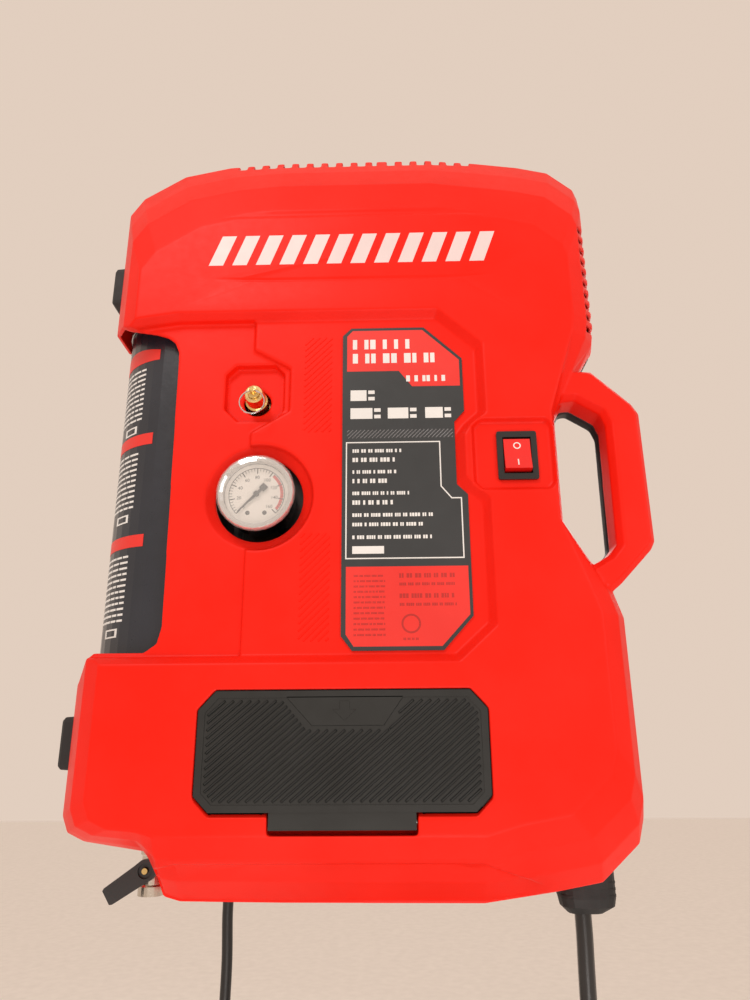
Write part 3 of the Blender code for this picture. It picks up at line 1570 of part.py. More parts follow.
for label, x in (("left", PLUG_X - 6.35), ("right", PLUG_X + 6.35)):
    blade = box(
        "plug_blade_" + label,
        (x - 0.75, x + 0.75),
        (PLUG_Y - 6.0, PLUG_Y + 0.3),
        (PIN_Z - 17.0, PIN_Z - GAP),
    )
    finish(blade, BRASS)
ground = turned(
    "plug_ground_pin", (PLUG_X, PLUG_Y + 6.6, PIN_Z), "Z", [(2.4, -GAP), (2.4, -18.0), (1.6, -20.0)], 16
)
finish(ground, BRASS)
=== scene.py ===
"""Looks of the wall-mounted air compressor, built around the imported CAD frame.

The camera and the two hanging cords come first, then the moulded shells, the printed
graphics, the small detail on each fitting, and the materials.
Lengths in the helpers are millimetres in the housing's own frame: X to the right, Z up
from the housing datum, and Y into the wall. place() turns them into the row frame.
"""

import json
import math
import random

import bmesh
import bpy
from mathutils import Matrix, Vector, noise

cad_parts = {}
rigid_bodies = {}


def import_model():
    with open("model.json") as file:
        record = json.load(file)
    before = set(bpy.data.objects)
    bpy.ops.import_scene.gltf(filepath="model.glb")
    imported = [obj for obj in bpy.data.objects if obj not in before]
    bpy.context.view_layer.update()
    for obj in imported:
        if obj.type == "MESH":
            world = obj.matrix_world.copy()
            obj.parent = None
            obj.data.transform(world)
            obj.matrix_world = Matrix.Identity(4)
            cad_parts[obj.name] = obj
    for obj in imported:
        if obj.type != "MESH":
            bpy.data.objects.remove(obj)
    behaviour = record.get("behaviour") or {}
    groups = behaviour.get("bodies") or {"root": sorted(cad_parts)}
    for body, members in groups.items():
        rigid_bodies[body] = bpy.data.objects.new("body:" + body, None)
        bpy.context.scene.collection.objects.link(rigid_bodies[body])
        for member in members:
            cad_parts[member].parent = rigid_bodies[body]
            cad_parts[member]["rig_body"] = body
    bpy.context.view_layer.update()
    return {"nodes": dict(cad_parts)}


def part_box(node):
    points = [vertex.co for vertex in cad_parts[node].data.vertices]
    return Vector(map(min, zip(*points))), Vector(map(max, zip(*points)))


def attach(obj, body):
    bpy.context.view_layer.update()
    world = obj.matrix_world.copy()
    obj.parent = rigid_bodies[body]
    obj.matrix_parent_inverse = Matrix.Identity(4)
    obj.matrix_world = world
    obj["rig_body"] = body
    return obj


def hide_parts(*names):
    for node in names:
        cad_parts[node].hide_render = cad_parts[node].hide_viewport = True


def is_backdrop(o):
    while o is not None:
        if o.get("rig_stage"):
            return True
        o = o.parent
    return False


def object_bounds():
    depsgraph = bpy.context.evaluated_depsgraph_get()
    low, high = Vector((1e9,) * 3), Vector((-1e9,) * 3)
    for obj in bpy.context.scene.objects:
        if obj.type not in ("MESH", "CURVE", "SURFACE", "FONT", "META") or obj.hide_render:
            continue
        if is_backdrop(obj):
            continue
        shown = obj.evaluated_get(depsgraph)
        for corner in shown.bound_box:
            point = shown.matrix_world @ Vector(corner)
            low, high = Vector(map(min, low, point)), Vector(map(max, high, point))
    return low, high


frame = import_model()
NODES = frame["nodes"]

MM = 0.001
SHELL_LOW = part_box("front_shell")[0]
FRONT_Y = SHELL_LOW.y / MM  # the front face of the housing
SHELL_FOOT = -281.0  # the bottom edge of the housing, from its datum
DATUM = SHELL_LOW.z - SHELL_FOOT * MM


def place(x, y, z):
    """A point in housing millimetres, in the row frame."""
    return Vector((x * MM, y * MM, DATUM + z * MM))


# ---------------------------------------------------------------- camera
camera_data = bpy.data.cameras.new("camera")
camera_data.lens = 27.0
camera_data.sensor_width = 36.0
camera = bpy.data.objects.new("camera", camera_data)
bpy.context.scene.collection.objects.link(camera)
right = Vector((0.9997, 0.0234, -0.0062))
up = Vector((0.0131, -0.3098, 0.9507))
back = right.cross(up).normalized()
right = up.cross(back).normalized()
turn = Matrix((right, back.cross(right), back)).transposed()
camera.matrix_world = Matrix.Translation((0.0269, -0.6584, -0.2861)) @ turn.to_4x4()
bpy.context.scene.camera = camera


# ---------------------------------------------------------------- materials
def new_material(name, colour, roughness, metallic=0.0, **sockets):
    made = bpy.data.materials.new(name)
    made.use_nodes = True
    shader = made.node_tree.nodes["Principled BSDF"]
    shader.inputs["Base Color"].default_value = (*colour, 1.0)
    shader.inputs["Roughness"].default_value = roughness
    shader.inputs["Metallic"].default_value = metallic
    for label, value in sockets.items():
        shader.inputs[label.replace("_", " ")].default_value = value
    return made


def add_node(tree, kind, **inputs):
    node = tree.nodes.new(kind)
    for label, value in inputs.items():
        node.inputs[label.replace("_", " ")].default_value = value
    return node


def noise_of(tree, scale, detail=4.0, stretch=(1.0, 1.0, 1.0)):
    """A noise texture in object space, in cycles per metre, stretched along an axis if asked."""
    coords = tree.nodes.new("ShaderNodeTexCoord")
    mapping = add_node(tree, "ShaderNodeMapping", Scale=stretch)
    texture = add_node(tree, "ShaderNodeTexNoise", Scale=scale, Detail=detail)
    tree.links.new(coords.outputs["Object"], mapping.inputs["Vector"])
    tree.links.new(mapping.outputs["Vector"], texture.inputs["Vector"])
    return texture.outputs["Fac"]


def surface(name, colour, roughness, metallic=0.0, grain=2600.0, bump=0.05, mottle=0.12, vary=0.08,
            stretch=(1.0, 1.0, 1.0), wear=None, **sockets):
    """A material with a fine moulded or machined grain, uneven gloss and slight colour changes.

    grain is the fineness of the bump in cycles per metre, mottle the share the colour
    darkens in patches, vary the change of roughness, and wear a colour for raised edges.
    """
    made = new_material(name, colour, roughness, metallic, **sockets)
    tree = made.node_tree
    shader = tree.nodes["Principled BSDF"]
    patches = noise_of(tree, 22.0, 5.0, stretch)
    darker = tuple(c * (1.0 - mottle) for c in colour)
    lighter = tuple(min(1.0, c * (1.0 + mottle * 0.6) + 0.004) for c in colour)
    ramp = tree.nodes.new("ShaderNodeValToRGB")
    ramp.color_ramp.elements[0].position = 0.3
    ramp.color_ramp.elements[0].color = (*darker, 1.0)
    ramp.color_ramp.elements[1].position = 0.72
    ramp.color_ramp.elements[1].color = (*lighter, 1.0)
    tree.links.new(patches, ramp.inputs["Fac"])
    colour_out = ramp.outputs["Color"]
    if wear is not None:
        geometry = tree.nodes.new("ShaderNodeNewGeometry")
        edges = add_node(tree, "ShaderNodeMapRange")
        edges.inputs["From Min"].default_value = 0.53
        edges.inputs["From Max"].default_value = 0.62
        edges.inputs["To Max"].default_value = 0.6
        tree.links.new(geometry.outputs["Pointiness"], edges.inputs["Value"])
        mix = tree.nodes.new("ShaderNodeMix")
        mix.data_type = "RGBA"
        colour_a, colour_b = [socket for socket in mix.inputs if socket.type == "RGBA"]
        colour_b.default_value = (*wear, 1.0)
        tree.links.new(edges.outputs["Result"], mix.inputs["Factor"])
        tree.links.new(colour_out, colour_a)
        colour_out = [socket for socket in mix.outputs if socket.type == "RGBA"][0]
    tree.links.new(colour_out, shader.inputs["Base Color"])
    gloss = noise_of(tree, 160.0, 3.0, stretch)
    gloss_range = add_node(tree, "ShaderNodeMapRange")
    gloss_range.inputs["To Min"].default_value = max(0.02, roughness - vary)
    gloss_range.inputs["To Max"].default_value = min(1.0, roughness + vary)
    tree.links.new(gloss, gloss_range.inputs["Value"])
    tree.links.new(gloss_range.outputs["Result"], shader.inputs["Roughness"])
    fine = noise_of(tree, grain, 2.0, stretch)
    relief = add_node(tree, "ShaderNodeBump", Strength=1.0, Distance=bump * MM)
    tree.links.new(fine, relief.inputs["Height"])
    tree.links.new(relief.outputs["Normal"], shader.inputs["Normal"])
    return made


RED = (0.86, 0.012, 0.003)
MATERIALS = {
    "red_shell": surface("red_shell", RED, 0.42, grain=1500.0, bump=0.06, mottle=0.04, vary=0.06,
                         Specular_IOR_Level=0.16),
    "black_shell": surface("black_shell", (0.022, 0.022, 0.024), 0.48, grain=1500.0, bump=0.08),
    "rubber": surface("rubber", (0.012, 0.012, 0.013), 0.62, grain=900.0, bump=0.08, mottle=0.25),
    "hose_rubber": surface("hose_rubber", (0.011, 0.011, 0.012), 0.3, grain=700.0, bump=0.04,
                           mottle=0.3, Coat_Weight=0.25, Coat_Roughness=0.2),
    "cord_jacket": surface("cord_jacket", (0.016, 0.016, 0.017), 0.42, grain=1200.0, bump=0.04, mottle=0.2),
    "door_plastic": surface("door_plastic", (0.013, 0.015, 0.015), 0.36, grain=1700.0, bump=0.05,
                            mottle=0.15),
    "tank_paint": surface("tank_paint", (0.012, 0.016, 0.026), 0.3, grain=420.0, bump=0.05,
                          mottle=0.12, Coat_Weight=0.3, Coat_Roughness=0.16),
    "label_black": surface("label_black", (0.030, 0.034, 0.037), 0.38, grain=900.0, bump=0.015,
                           mottle=0.06),
    "label_red": surface("label_red", (0.78, 0.028, 0.020), 0.4, grain=900.0, bump=0.015, mottle=0.05),
    "label_dark_red": surface("label_dark_red", (0.47, 0.022, 0.018), 0.36, grain=900.0, bump=0.015),
    "print_white": surface("print_white", (0.78, 0.78, 0.77), 0.42, grain=1200.0, bump=0.01, mottle=0.06),
    "mark_white": surface("mark_white", (0.80, 0.66, 0.66), 0.4, grain=1200.0, bump=0.015, mottle=0.05),
    "print_black": surface("print_black", (0.012, 0.012, 0.012), 0.45, grain=1200.0, bump=0.01),
    "bracket_paint": surface("bracket_paint", (0.56, 0.57, 0.58), 0.45, grain=500.0, bump=0.05,
                             wear=(0.75, 0.76, 0.77)),
    "steel": surface("steel", (0.60, 0.61, 0.62), 0.3, 1.0, grain=900.0, bump=0.02,
                     stretch=(0.2, 1.0, 1.0)),
    "chrome": surface("chrome", (0.74, 0.75, 0.76), 0.13, 1.0, grain=500.0, bump=0.01, vary=0.05),
    "dark_steel": surface("dark_steel", (0.21, 0.21, 0.22), 0.36, 1.0, grain=900.0, bump=0.03),
    "laminations": surface("laminations", (0.30, 0.30, 0.31), 0.42, 1.0, grain=900.0, bump=0.12,
                           stretch=(3.0, 0.05, 0.05)),
    "cast_aluminium": surface("cast_aluminium", (0.62, 0.63, 0.64), 0.46, 1.0, grain=1100.0, bump=0.16,
                              mottle=0.2),
    "brass": surface("brass", (0.80, 0.55, 0.20), 0.22, 1.0, grain=900.0, bump=0.02, mottle=0.16,
                     wear=(0.92, 0.74, 0.42)),
    "nickel": surface("nickel", (0.66, 0.61, 0.54), 0.24, 1.0, grain=700.0, bump=0.02, mottle=0.14),
    "copper": surface("copper", (0.78, 0.36, 0.22), 0.28, 1.0, grain=700.0, bump=0.02, mottle=0.22),
    "switch_black": surface("switch_black", (0.014, 0.014, 0.015), 0.3, grain=2200.0, bump=0.02),
    "rocker_red": surface("rocker_red", (0.80, 0.006, 0.004), 0.2, grain=2600.0, bump=0.012, mottle=0.06,
                          Coat_Weight=0.5, Coat_Roughness=0.08),
    "dial_face": surface("dial_face", (0.86, 0.80, 0.74), 0.5, grain=1800.0, bump=0.01, mottle=0.05),
    "dial_red": surface("dial_red", (0.72, 0.05, 0.04), 0.5, grain=1800.0, bump=0.01),
    "strap": surface("strap", (0.02, 0.02, 0.021), 0.75, grain=2500.0, bump=0.12, stretch=(1.0, 4.0, 1.0)),
}
MATERIALS["lens"] = new_material("lens", (0.95, 0.97, 0.98), 0.03, Alpha=0.05)
MATERIALS["film"] = surface("film", (0.93, 0.92, 0.9), 0.1, grain=420.0, bump=0.2, mottle=0.02,
                            Alpha=0.11, Specular_IOR_Level=1.0)


# ---------------------------------------------------------------- mesh helpers
def piece(name, bm, look, body="housing", smooth=None):
    """Makes a piece of a bmesh drawn in housing millimetres and lets it ride on a body."""
    bmesh.ops.recalc_face_normals(bm, faces=bm.faces)
    mesh = bpy.data.meshes.new(name)
    bm.transform(Matrix.Translation((0.0, 0.0, DATUM)) @ Matrix.Scale(MM, 4))
    bm.to_mesh(mesh)
    bm.free()
    obj = bpy.data.objects.new(name, mesh)
    bpy.context.scene.collection.objects.link(obj)
    mesh.materials.append(MATERIALS[look])
    if smooth is not None:
        mesh.shade_smooth()
        mesh.set_sharp_from_angle(angle=math.radians(smooth))
    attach(obj, body)
    return obj


def loft(bm, rings):
    """A closed body through rings that have the same number of points."""
    made = [[bm.verts.new(p) for p in ring] for ring in rings]
    for low, high in zip(made, made[1:]):
        for i, vert in enumerate(low):
            j = (i + 1) % len(low)
            bm.faces.new((vert, low[j], high[j], high[i]))
    bm.faces.new(made[0])
    bm.faces.new(made[-1])


def slab(bm, outline, back, front, ease=0.0):
    """A flat piece with its outline in X and Z, from the depth back forward to the depth front."""
    rings = [[(x, FRONT_Y + back, z) for x, z in outline]]
    if ease:
        edge = front + ease if front < back else front - ease
        rings.append([(x, FRONT_Y + edge, z) for x, z in outline])
        outline = shrunk(outline, ease)
    rings.append([(x, FRONT_Y + front, z) for x, z in outline])
    loft(bm, rings)


def area_of(outline):
    total = 0.0
    for (x0, z0), (x1, z1) in zip(outline, outline[1:] + outline[:1]):
        total += x0 * z1 - x1 * z0
    return total / 2.0


def shrunk(outline, by):
    """The outline with every edge moved inward by that much."""
    sign = 1.0 if area_of(outline) > 0 else -1.0
    points = [Vector(p) for p in outline]
    out = []
    for i, here in enumerate(points):
        before = (here - points[i - 1]).normalized()
        after = (points[(i + 1) % len(points)] - here).normalized()
        n0 = Vector((-before.y, before.x)) * sign
        n1 = Vector((-after.y, after.x)) * sign
        bisector = (n0 + n1) / max(0.3, 1.0 + n0.dot(n1))
        out.append(tuple(here + bisector * by))
    return out


def rectangle(x0, x1, z0, z1):
    return [(x0, z0), (x1, z0), (x1, z1), (x0, z1)]


def ring_of(x, z, radius, count=32, start=0.0, sweep=360.0):
    """Points of an arc, in X and Z; a full circle leaves out its last point."""
    steps = count if sweep >= 360.0 else count - 1
    angles = [math.radians(start + sweep * i / steps) for i in range(count)]
    return [(x + radius * math.cos(a), z + radius * math.sin(a)) for a in angles]


def band(x, z, inner, outer, start, sweep, count=24):
    """The outline of part of a flat ring."""
    return ring_of(x, z, outer, count, start, sweep) + ring_of(x, z, inner, count, start, sweep)[::-1]


def crossings(outlines, origin, direction):
    """Where a line crosses the outlines, as sorted distances along it."""
    normal = Vector((-direction.y, direction.x))
    found = []
    for outline in outlines:
        for a, b in zip(outline, outline[1:] + outline[:1]):
            a, b = Vector(a) - origin, Vector(b) - origin
            da, db = a.dot(normal), b.dot(normal)
            if (da > 0) != (db > 0):
                share = da / (da - db)
                found.append((a + (b - a) * share).dot(direction))
    return sorted(found)


def ribs(bm, outlines, angle, pitch, half_width, back, front, trim=0.0):
    """Parallel ridges across the outlines; an outline inside another is left free."""
    direction = Vector((math.cos(math.radians(angle)), math.sin(math.radians(angle))))
    side = Vector((-direction.y, direction.x))
    reach = [Vector(p).dot(side) for p in outlines[0]]
    count = int((max(reach) - min(reach)) / pitch)
    for i in range(count):
        origin = side * (min(reach) + pitch * (i + 0.5))
        cuts = crossings(outlines, origin, direction)
        for start, end in zip(cuts[::2], cuts[1::2]):
            start, end = start + trim, end - trim
            if end - start < 1.0:
                continue
            a, b = origin + direction * start, origin + direction * end
            w, t = side * half_width, side * half_width * 0.3
            base = [a - w, b - w, b + w, a + w]
            inset = direction * min(half_width, (end - start) / 3)
            top = [a - t + inset, b - t - inset, b + t - inset, a + t + inset]
            lower_ring = [(p.x, FRONT_Y + back, p.y) for p in base]
            upper_ring = [(p.x, FRONT_Y + front, p.y) for p in top]
            loft(bm, [lower_ring, upper_ring])


def words(bm, rng, x, z, width, height, back, front, longest=9.0):
    """A line of print with no letters in it: groups of narrow upright blocks of uneven width."""
    here, end = x, x + width
    bar, gap = height * 0.52, height * 0.16
    while here < end - bar:
        blocks = max(1, int(rng.uniform(0.35, 1.0) * longest / (bar + gap)))
        for _ in range(blocks):
            wide = bar * rng.uniform(0.7, 1.2)
            if here + wide > end:
                break
            slab(bm, rectangle(here, here + wide, z - height / 2, z + height / 2), back, front)
            here += wide + gap
        here += bar


def turned(bm, centre, axis, profile, segments=32):
    """A turned body: profile is (radius, distance along the axis) from end to end."""
    direction = {"X": Vector((1, 0, 0)), "Y": Vector((0, 1, 0)), "Z": Vector((0, 0, 1))}[axis]
    first = Vector((0, 0, 1)) if axis != "Z" else Vector((1, 0, 0))
    second = direction.cross(first)
    rings = []
    for radius, along in profile:
        ring = []
        for i in range(segments):
            a = 2 * math.pi * i / segments
            point = Vector(centre) + direction * along
            ring.append(point + (first * math.cos(a) + second * math.sin(a)) * radius)
        rings.append(ring)
    loft(bm, rings)


# ---------------------------------------------------------------- cords
def smooth_route(points, step):
    """A Catmull-Rom curve through given points, sampled at about that spacing."""
    points = [Vector(p) for p in points]
    padded = [points[0] * 2 - points[1]] + points + [points[-1] * 2 - points[-2]]
    out = []
    for i in range(1, len(padded) - 2):
        p0, p1, p2, p3 = padded[i - 1 : i + 3]
        count = max(2, int((p2 - p1).length / step))
        for k in range(count):
            t = k / count
            out.append(
                0.5 * (2 * p1 + (p2 - p0) * t + (2 * p0 - 5 * p1 + 4 * p2 - p3) * t * t
                       + (3 * p1 - p0 - 3 * p2 + p3) * t ** 3)
            )
    return out + [points[-1]]


def wound(entry_x, entry_y, z, radius, pitch, rows, layers, turns, side, share=1 / 3):
    """The centreline of a wound coil, entered and left straight down on its outermost turn.

    Rows lie beside each other along Y. Each row is a spiral through all the layers,
    inward and outward by turns, and share is the part of a turn spent moving to the next row.
    """
    outer = radius + (layers - 1) * pitch / 2
    inner = radius - (layers - 1) * pitch / 2
    centre_x = entry_x - side * outer
    row_turns = (turns - share * (rows - 1)) / rows
    out = []
    steps = int(turns * 40)
    for i in range(steps + 1):
        done = turns * i / steps
        row = min(rows - 1, int(done / (row_turns + share)))
        within = done - row * (row_turns + share)
        spiral = min(1.0, within / row_turns)
        moved = max(0.0, within - row_turns) / share
        eased = moved * moved * (3 - 2 * moved)
        r = outer + (inner - outer) * (spiral if row % 2 == 0 else 1.0 - spiral)
        a = 2 * math.pi * done
        y = entry_y + pitch * (row + eased)
        out.append(Vector((centre_x + side * r * math.cos(a), y, z - r * math.sin(a))))
    return out


def cord_piece(name, points, diameter, look):
    curve = bpy.data.curves.new(name, "CURVE")
    curve.dimensions = "3D"
    curve.bevel_depth = diameter / 2 * MM
    curve.bevel_resolution = 3
    curve.use_fill_caps = True
    spline = curve.splines.new("POLY")
    spline.points.add(len(points) - 1)
    for point, target in zip(points, spline.points):
        target.co = (*place(*point), 1.0)
    spline.use_smooth = True
    obj = bpy.data.objects.new(name, curve)
    bpy.context.scene.collection.objects.link(obj)
    curve.materials.append(MATERIALS[look])
    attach(obj, "housing")
    return obj


def tie(name, x, y, z, half_r, half_y):
    """A hook and loop strap round a bundle, seen from the side at its middle height."""
    bm = bmesh.new()
    wide, thick, ease = 9.0, 0.9, 4.0
    corners = [(half_r, half_y), (-half_r, half_y), (-half_r, -half_y), (half_r, -half_y)]
    outline = []
    for cx, cy in corners:
        sx, sy = math.copysign(1, cx), math.copysign(1, cy)
        for i in range(5):
            a = math.pi / 2 * i / 4
            if sx * sy < 0:
                a = math.pi / 2 - a
            px = cx - sx * ease + sx * ease * math.cos(a)
            py = cy - sy * ease + sy * ease * math.sin(a)
            outline.append((px, py))
    inner = [(x + px, y + py) for px, py in outline]
    outer = [
        (x + px * (half_r + thick) / half_r, y + py * (half_y + thick) / half_y)
        for px, py in outline
    ]
    rings = []
    for ring in (inner, outer):
        for dz in (-wide, wide):
            rings.append([bm.verts.new((px, py, z + dz)) for px, py in ring])
    count = len(inner)
    for a, b in ((0, 1), (1, 3), (3, 2), (2, 0)):
        for i in range(count):
            j = (i + 1) % count
            bm.faces.new((rings[a][i], rings[a][j], rings[b][j], rings[b][i]))
    return piece(name, bm, "strap", smooth=40)


END_GAP = 0.3  # between a cord's end and the fitting on it
ROUTE_STEP = 6.0  # spacing of a cord's points where it isn't coiled
HOSE_DIAMETER, HOSE_PITCH, HOSE_ROWS, HOSE_LAYERS, HOSE_TURNS = 10.5, 10.5, 4, 4, 13
HOSE_X, HOSE_Y, HOSE_TOP_Z = 146.0, -120.0, -293.0
HOSE_COIL_RADIUS, HOSE_COIL_Z = 75.0, -465.0
HOSE_OUTER = HOSE_COIL_RADIUS + (HOSE_LAYERS - 1) * HOSE_PITCH / 2
TAIL_Y = HOSE_Y + (HOSE_ROWS - 1) * HOSE_PITCH
hose_drop = [
    (HOSE_X, HOSE_Y, HOSE_TOP_Z - 0.6),
    (HOSE_X, HOSE_Y, HOSE_TOP_Z - 14.0),
    (HOSE_X - 0.6, HOSE_Y, HOSE_TOP_Z - 34.0),
    (HOSE_X - 1.0, HOSE_Y, HOSE_TOP_Z - 60.0),
    (HOSE_X - 0.5, HOSE_Y, HOSE_TOP_Z - 90.0),
    (HOSE_X, HOSE_Y, HOSE_COIL_Z + 30.0),
    (HOSE_X, HOSE_Y, HOSE_COIL_Z),
]
hose_coil = wound(
    HOSE_X, HOSE_Y, HOSE_COIL_Z, HOSE_COIL_RADIUS, HOSE_PITCH, HOSE_ROWS, HOSE_LAYERS, HOSE_TURNS, 1.0
)
coupler_top = (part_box("coupler_body")[1].z - DATUM) / MM
hose_path = smooth_route(hose_drop, ROUTE_STEP)[:-1] + hose_coil
hose_tail = (HOSE_COIL_Z - 16.0, HOSE_COIL_Z - 32.0, coupler_top + END_GAP)
hose_path += [Vector((HOSE_X, TAIL_Y, z)) for z in hose_tail]
air_hose = cord_piece("air_hose_run", hose_path, HOSE_DIAMETER, "hose_rubber")
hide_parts("air_hose", "hose_coil")
hose_centre_y = HOSE_Y + (HOSE_ROWS - 1) * HOSE_PITCH / 2
hose_tie_x = HOSE_X - HOSE_OUTER - HOSE_COIL_RADIUS
hose_tie = tie("hose_tie", hose_tie_x, hose_centre_y, HOSE_COIL_Z, 21.2, 21.2)

CORD_DIAMETER, CORD_PITCH, CORD_ROWS, CORD_LAYERS, CORD_TURNS = 8.0, 8.1, 2, 4, 6
CORD_X, CORD_Y, CORD_TOP_Z = -99.0, -28.5, -292.0
CORD_COIL_RADIUS, CORD_COIL_Z = 42.5, -432.0
CORD_OUTER = CORD_COIL_RADIUS + (CORD_LAYERS - 1) * CORD_PITCH / 2
PLUG_Y = CORD_Y + (CORD_ROWS - 1) * CORD_PITCH
cord_drop = [
    (CORD_X, CORD_Y, CORD_TOP_Z - 0.3),
    (CORD_X - 0.4, CORD_Y, CORD_TOP_Z - 20.0),
    (CORD_X + 0.8, CORD_Y, CORD_TOP_Z - 50.0),
    (CORD_X + 0.6, CORD_Y, CORD_TOP_Z - 80.0),
    (CORD_X, CORD_Y, CORD_COIL_Z + 25.0),
    (CORD_X, CORD_Y, CORD_COIL_Z),
]
cord_coil = wound(
    CORD_X, CORD_Y, CORD_COIL_Z, CORD_COIL_RADIUS, CORD_PITCH, CORD_ROWS, CORD_LAYERS, CORD_TURNS, -1.0
)
plug_top = (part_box("plug_body")[1].z - DATUM) / MM
cord_path = smooth_route(cord_drop, ROUTE_STEP)[:-1] + cord_coil
cord_tail = (CORD_COIL_Z - 12.0, CORD_COIL_Z - 24.0, plug_top + END_GAP)
cord_path += [Vector((CORD_X, PLUG_Y, z)) for z in cord_tail]
power_cord = cord_piece("power_cord_run", cord_path, CORD_DIAMETER, "cord_jacket")
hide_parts("power_cord", "cord_coil")
cord_centre_y = CORD_Y + (CORD_ROWS - 1) * CORD_PITCH / 2
cord_tie_x = CORD_X + CORD_OUTER + CORD_COIL_RADIUS
cord_tie = tie("cord_tie", cord_tie_x, cord_centre_y, CORD_COIL_Z, 16.4, 8.4)


# ---------------------------------------------------------------- moulded shells
def moulded(name, node, look, voxel, rounds, faces, shape=None):
    """A moulding made of a CAD shell: its edges rounded by a fine remesh and smoothing."""
    source = NODES[node]
    work = bpy.data.objects.new(name + "_work", source.data.copy())
    bpy.context.scene.collection.objects.link(work)
    remesh = work.modifiers.new("remesh", "REMESH")
    remesh.mode = "VOXEL"
    remesh.voxel_size = voxel * MM
    relax = work.modifiers.new("relax", "SMOOTH")
    relax.factor = 0.5
    relax.iterations = rounds
    graph = bpy.context.evaluated_depsgraph_get()
    mesh = bpy.data.meshes.new_from_object(work.evaluated_get(graph))
    bpy.data.objects.remove(work)
    if shape is not None:
        shape(mesh)
    mesh.materials.clear()
    mesh.materials.append(MATERIALS[look])
    obj = bpy.data.objects.new(name, mesh)
    bpy.context.scene.collection.objects.link(obj)
    thin = obj.modifiers.new("thin", "DECIMATE")
    thin.ratio = min(1.0, faces / max(1, 2 * len(mesh.polygons)))
    graph = bpy.context.evaluated_depsgraph_get()
    obj.data = bpy.data.meshes.new_from_object(obj.evaluated_get(graph))
    obj.modifiers.clear()
    obj.data.shade_smooth()
    obj.data.set_sharp_from_angle(angle=math.radians(50))
    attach(obj, source["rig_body"])
    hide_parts(node)
    return obj


# Lines across the front, from left to right: the step of the belly and the crease of the brow.
BELLY_LINE = [(-126.0, -262.0), (-101.0, -256.0), (77.0, -256.0), (116.0, -270.0)]
BROW_LINE = [(-100.0, 129.5), (-60.0, 128.0), (70.0, 128.0), (104.0, 129.5)]


def height_on(line, x):
    """The height of a line given by points from left to right, or None past its ends."""
    for (x0, z0), (x1, z1) in zip(line, line[1:]):
        if x0 <= x <= x1:
            return z0 + (z1 - z0) * (x - x0) / (x1 - x0)
    return None


def front_details(mesh):
    """Shallow moulded steps of the front: under the belly line, and the crease above the panel."""
    belly_step, belly_ease, belly_end = 1.3, 1.4, 12.0
    brow_depth, brow_half, brow_end = 0.9, 1.6, 30.0
    facing_forward, deepest = -0.25, 40.0
    for vert, normal in zip(mesh.vertices, mesh.vertex_normals):
        x, y, z = vert.co.x / MM, vert.co.y / MM, (vert.co.z - DATUM) / MM
        out = normal.vector
        if out.y > facing_forward or y > FRONT_Y + deepest:
            continue
        belly = height_on(BELLY_LINE, x)
        if belly is not None and z < belly and out.z < 0.2:
            ends = min(1.0, (x - BELLY_LINE[0][0]) / belly_end, (BELLY_LINE[-1][0] - x) / belly_end)
            vert.co -= out * belly_step * ends * min(1.0, (belly - z) / belly_ease) * MM
        brow = height_on(BROW_LINE, x)
        if brow is not None and abs(z - brow) < brow_half:
            ends = min(1.0, (x - BROW_LINE[0][0]) / brow_end, (BROW_LINE[-1][0] - x) / brow_end)
            vert.co -= out * brow_depth * ends * (1.0 - abs(z - brow) / brow_half) * MM


front = moulded("front_shell_moulding", "front_shell", "red_shell", 0.85, 6, 190000, front_details)
moulded("rear_shell_moulding", "rear_shell", "black_shell", 1.6, 3, 120000)

# ---------------------------------------------------------------- raised marks on the shell
PANEL = 6.5  # depth of the centre panel
HATCH = (
    [(-32.0, 11.0), (-12.5, 11.0), (-12.5, 84.0), (-32.0, 84.0)],
    [(-32.0, -130.0), (-12.5, -130.0), (-12.5, -60.0), (-32.0, -60.0)],
)
HATCH_PITCH, HATCH_HALF_WIDTH = 3.3, 0.75
for label, outline in zip(("upper", "lower"), HATCH):
    bm = bmesh.new()
    ribs(bm, [outline], 45.0, HATCH_PITCH, HATCH_HALF_WIDTH, PANEL + 0.25, PANEL - 0.5)
    piece("panel_hatch_" + label, bm, "red_shell", smooth=30)

MARK_COUNT, MARK_PITCH, MARK_WIDTH, MARK_LEAN = 12, 17.2, 10.5, 9.0
MARK_LEFT, MARK_BOTTOM, MARK_TOP = -103.0, 141.0, 166.0
bm = bmesh.new()
for i in range(MARK_COUNT):
    left = MARK_LEFT + MARK_PITCH * i
    outline = [
        (left, MARK_BOTTOM),
        (left + MARK_WIDTH, MARK_BOTTOM),
        (left + MARK_WIDTH + MARK_LEAN, MARK_TOP),
        (left + MARK_LEAN, MARK_TOP),
    ]
    slab(bm, outline, 0.25, -0.15)
piece("front_mark_bars", bm, "mark_white")

# ---------------------------------------------------------------- rating label
LABEL_FACE = PANEL - 1.3
UNDER_PRINT = LABEL_FACE + 0.1  # where a print starts, inside the label
PRINT = LABEL_FACE - 0.06  # the face of the first layer of print
PRINT_TOP = LABEL_FACE - 0.14  # the face of print that lies on other print
bm = bmesh.new()
title = [
    (-2.0, 56.0), (34.0, 56.0), (43.0, 44.0), (76.0, 44.0),
    (76.0, 64.0), (51.0, 88.0), (2.0, 88.0), (-2.0, 83.5),
]
slab(bm, title, UNDER_PRINT, PRINT)
lower = [(-2.0, -83.0), (76.0, -83.0), (76.0, -114.0), (58.0, -133.5), (3.0, -133.5), (-2.0, -126.0)]
slab(bm, lower, UNDER_PRINT, PRINT)
piece("label_red_blocks", bm, "label_red")

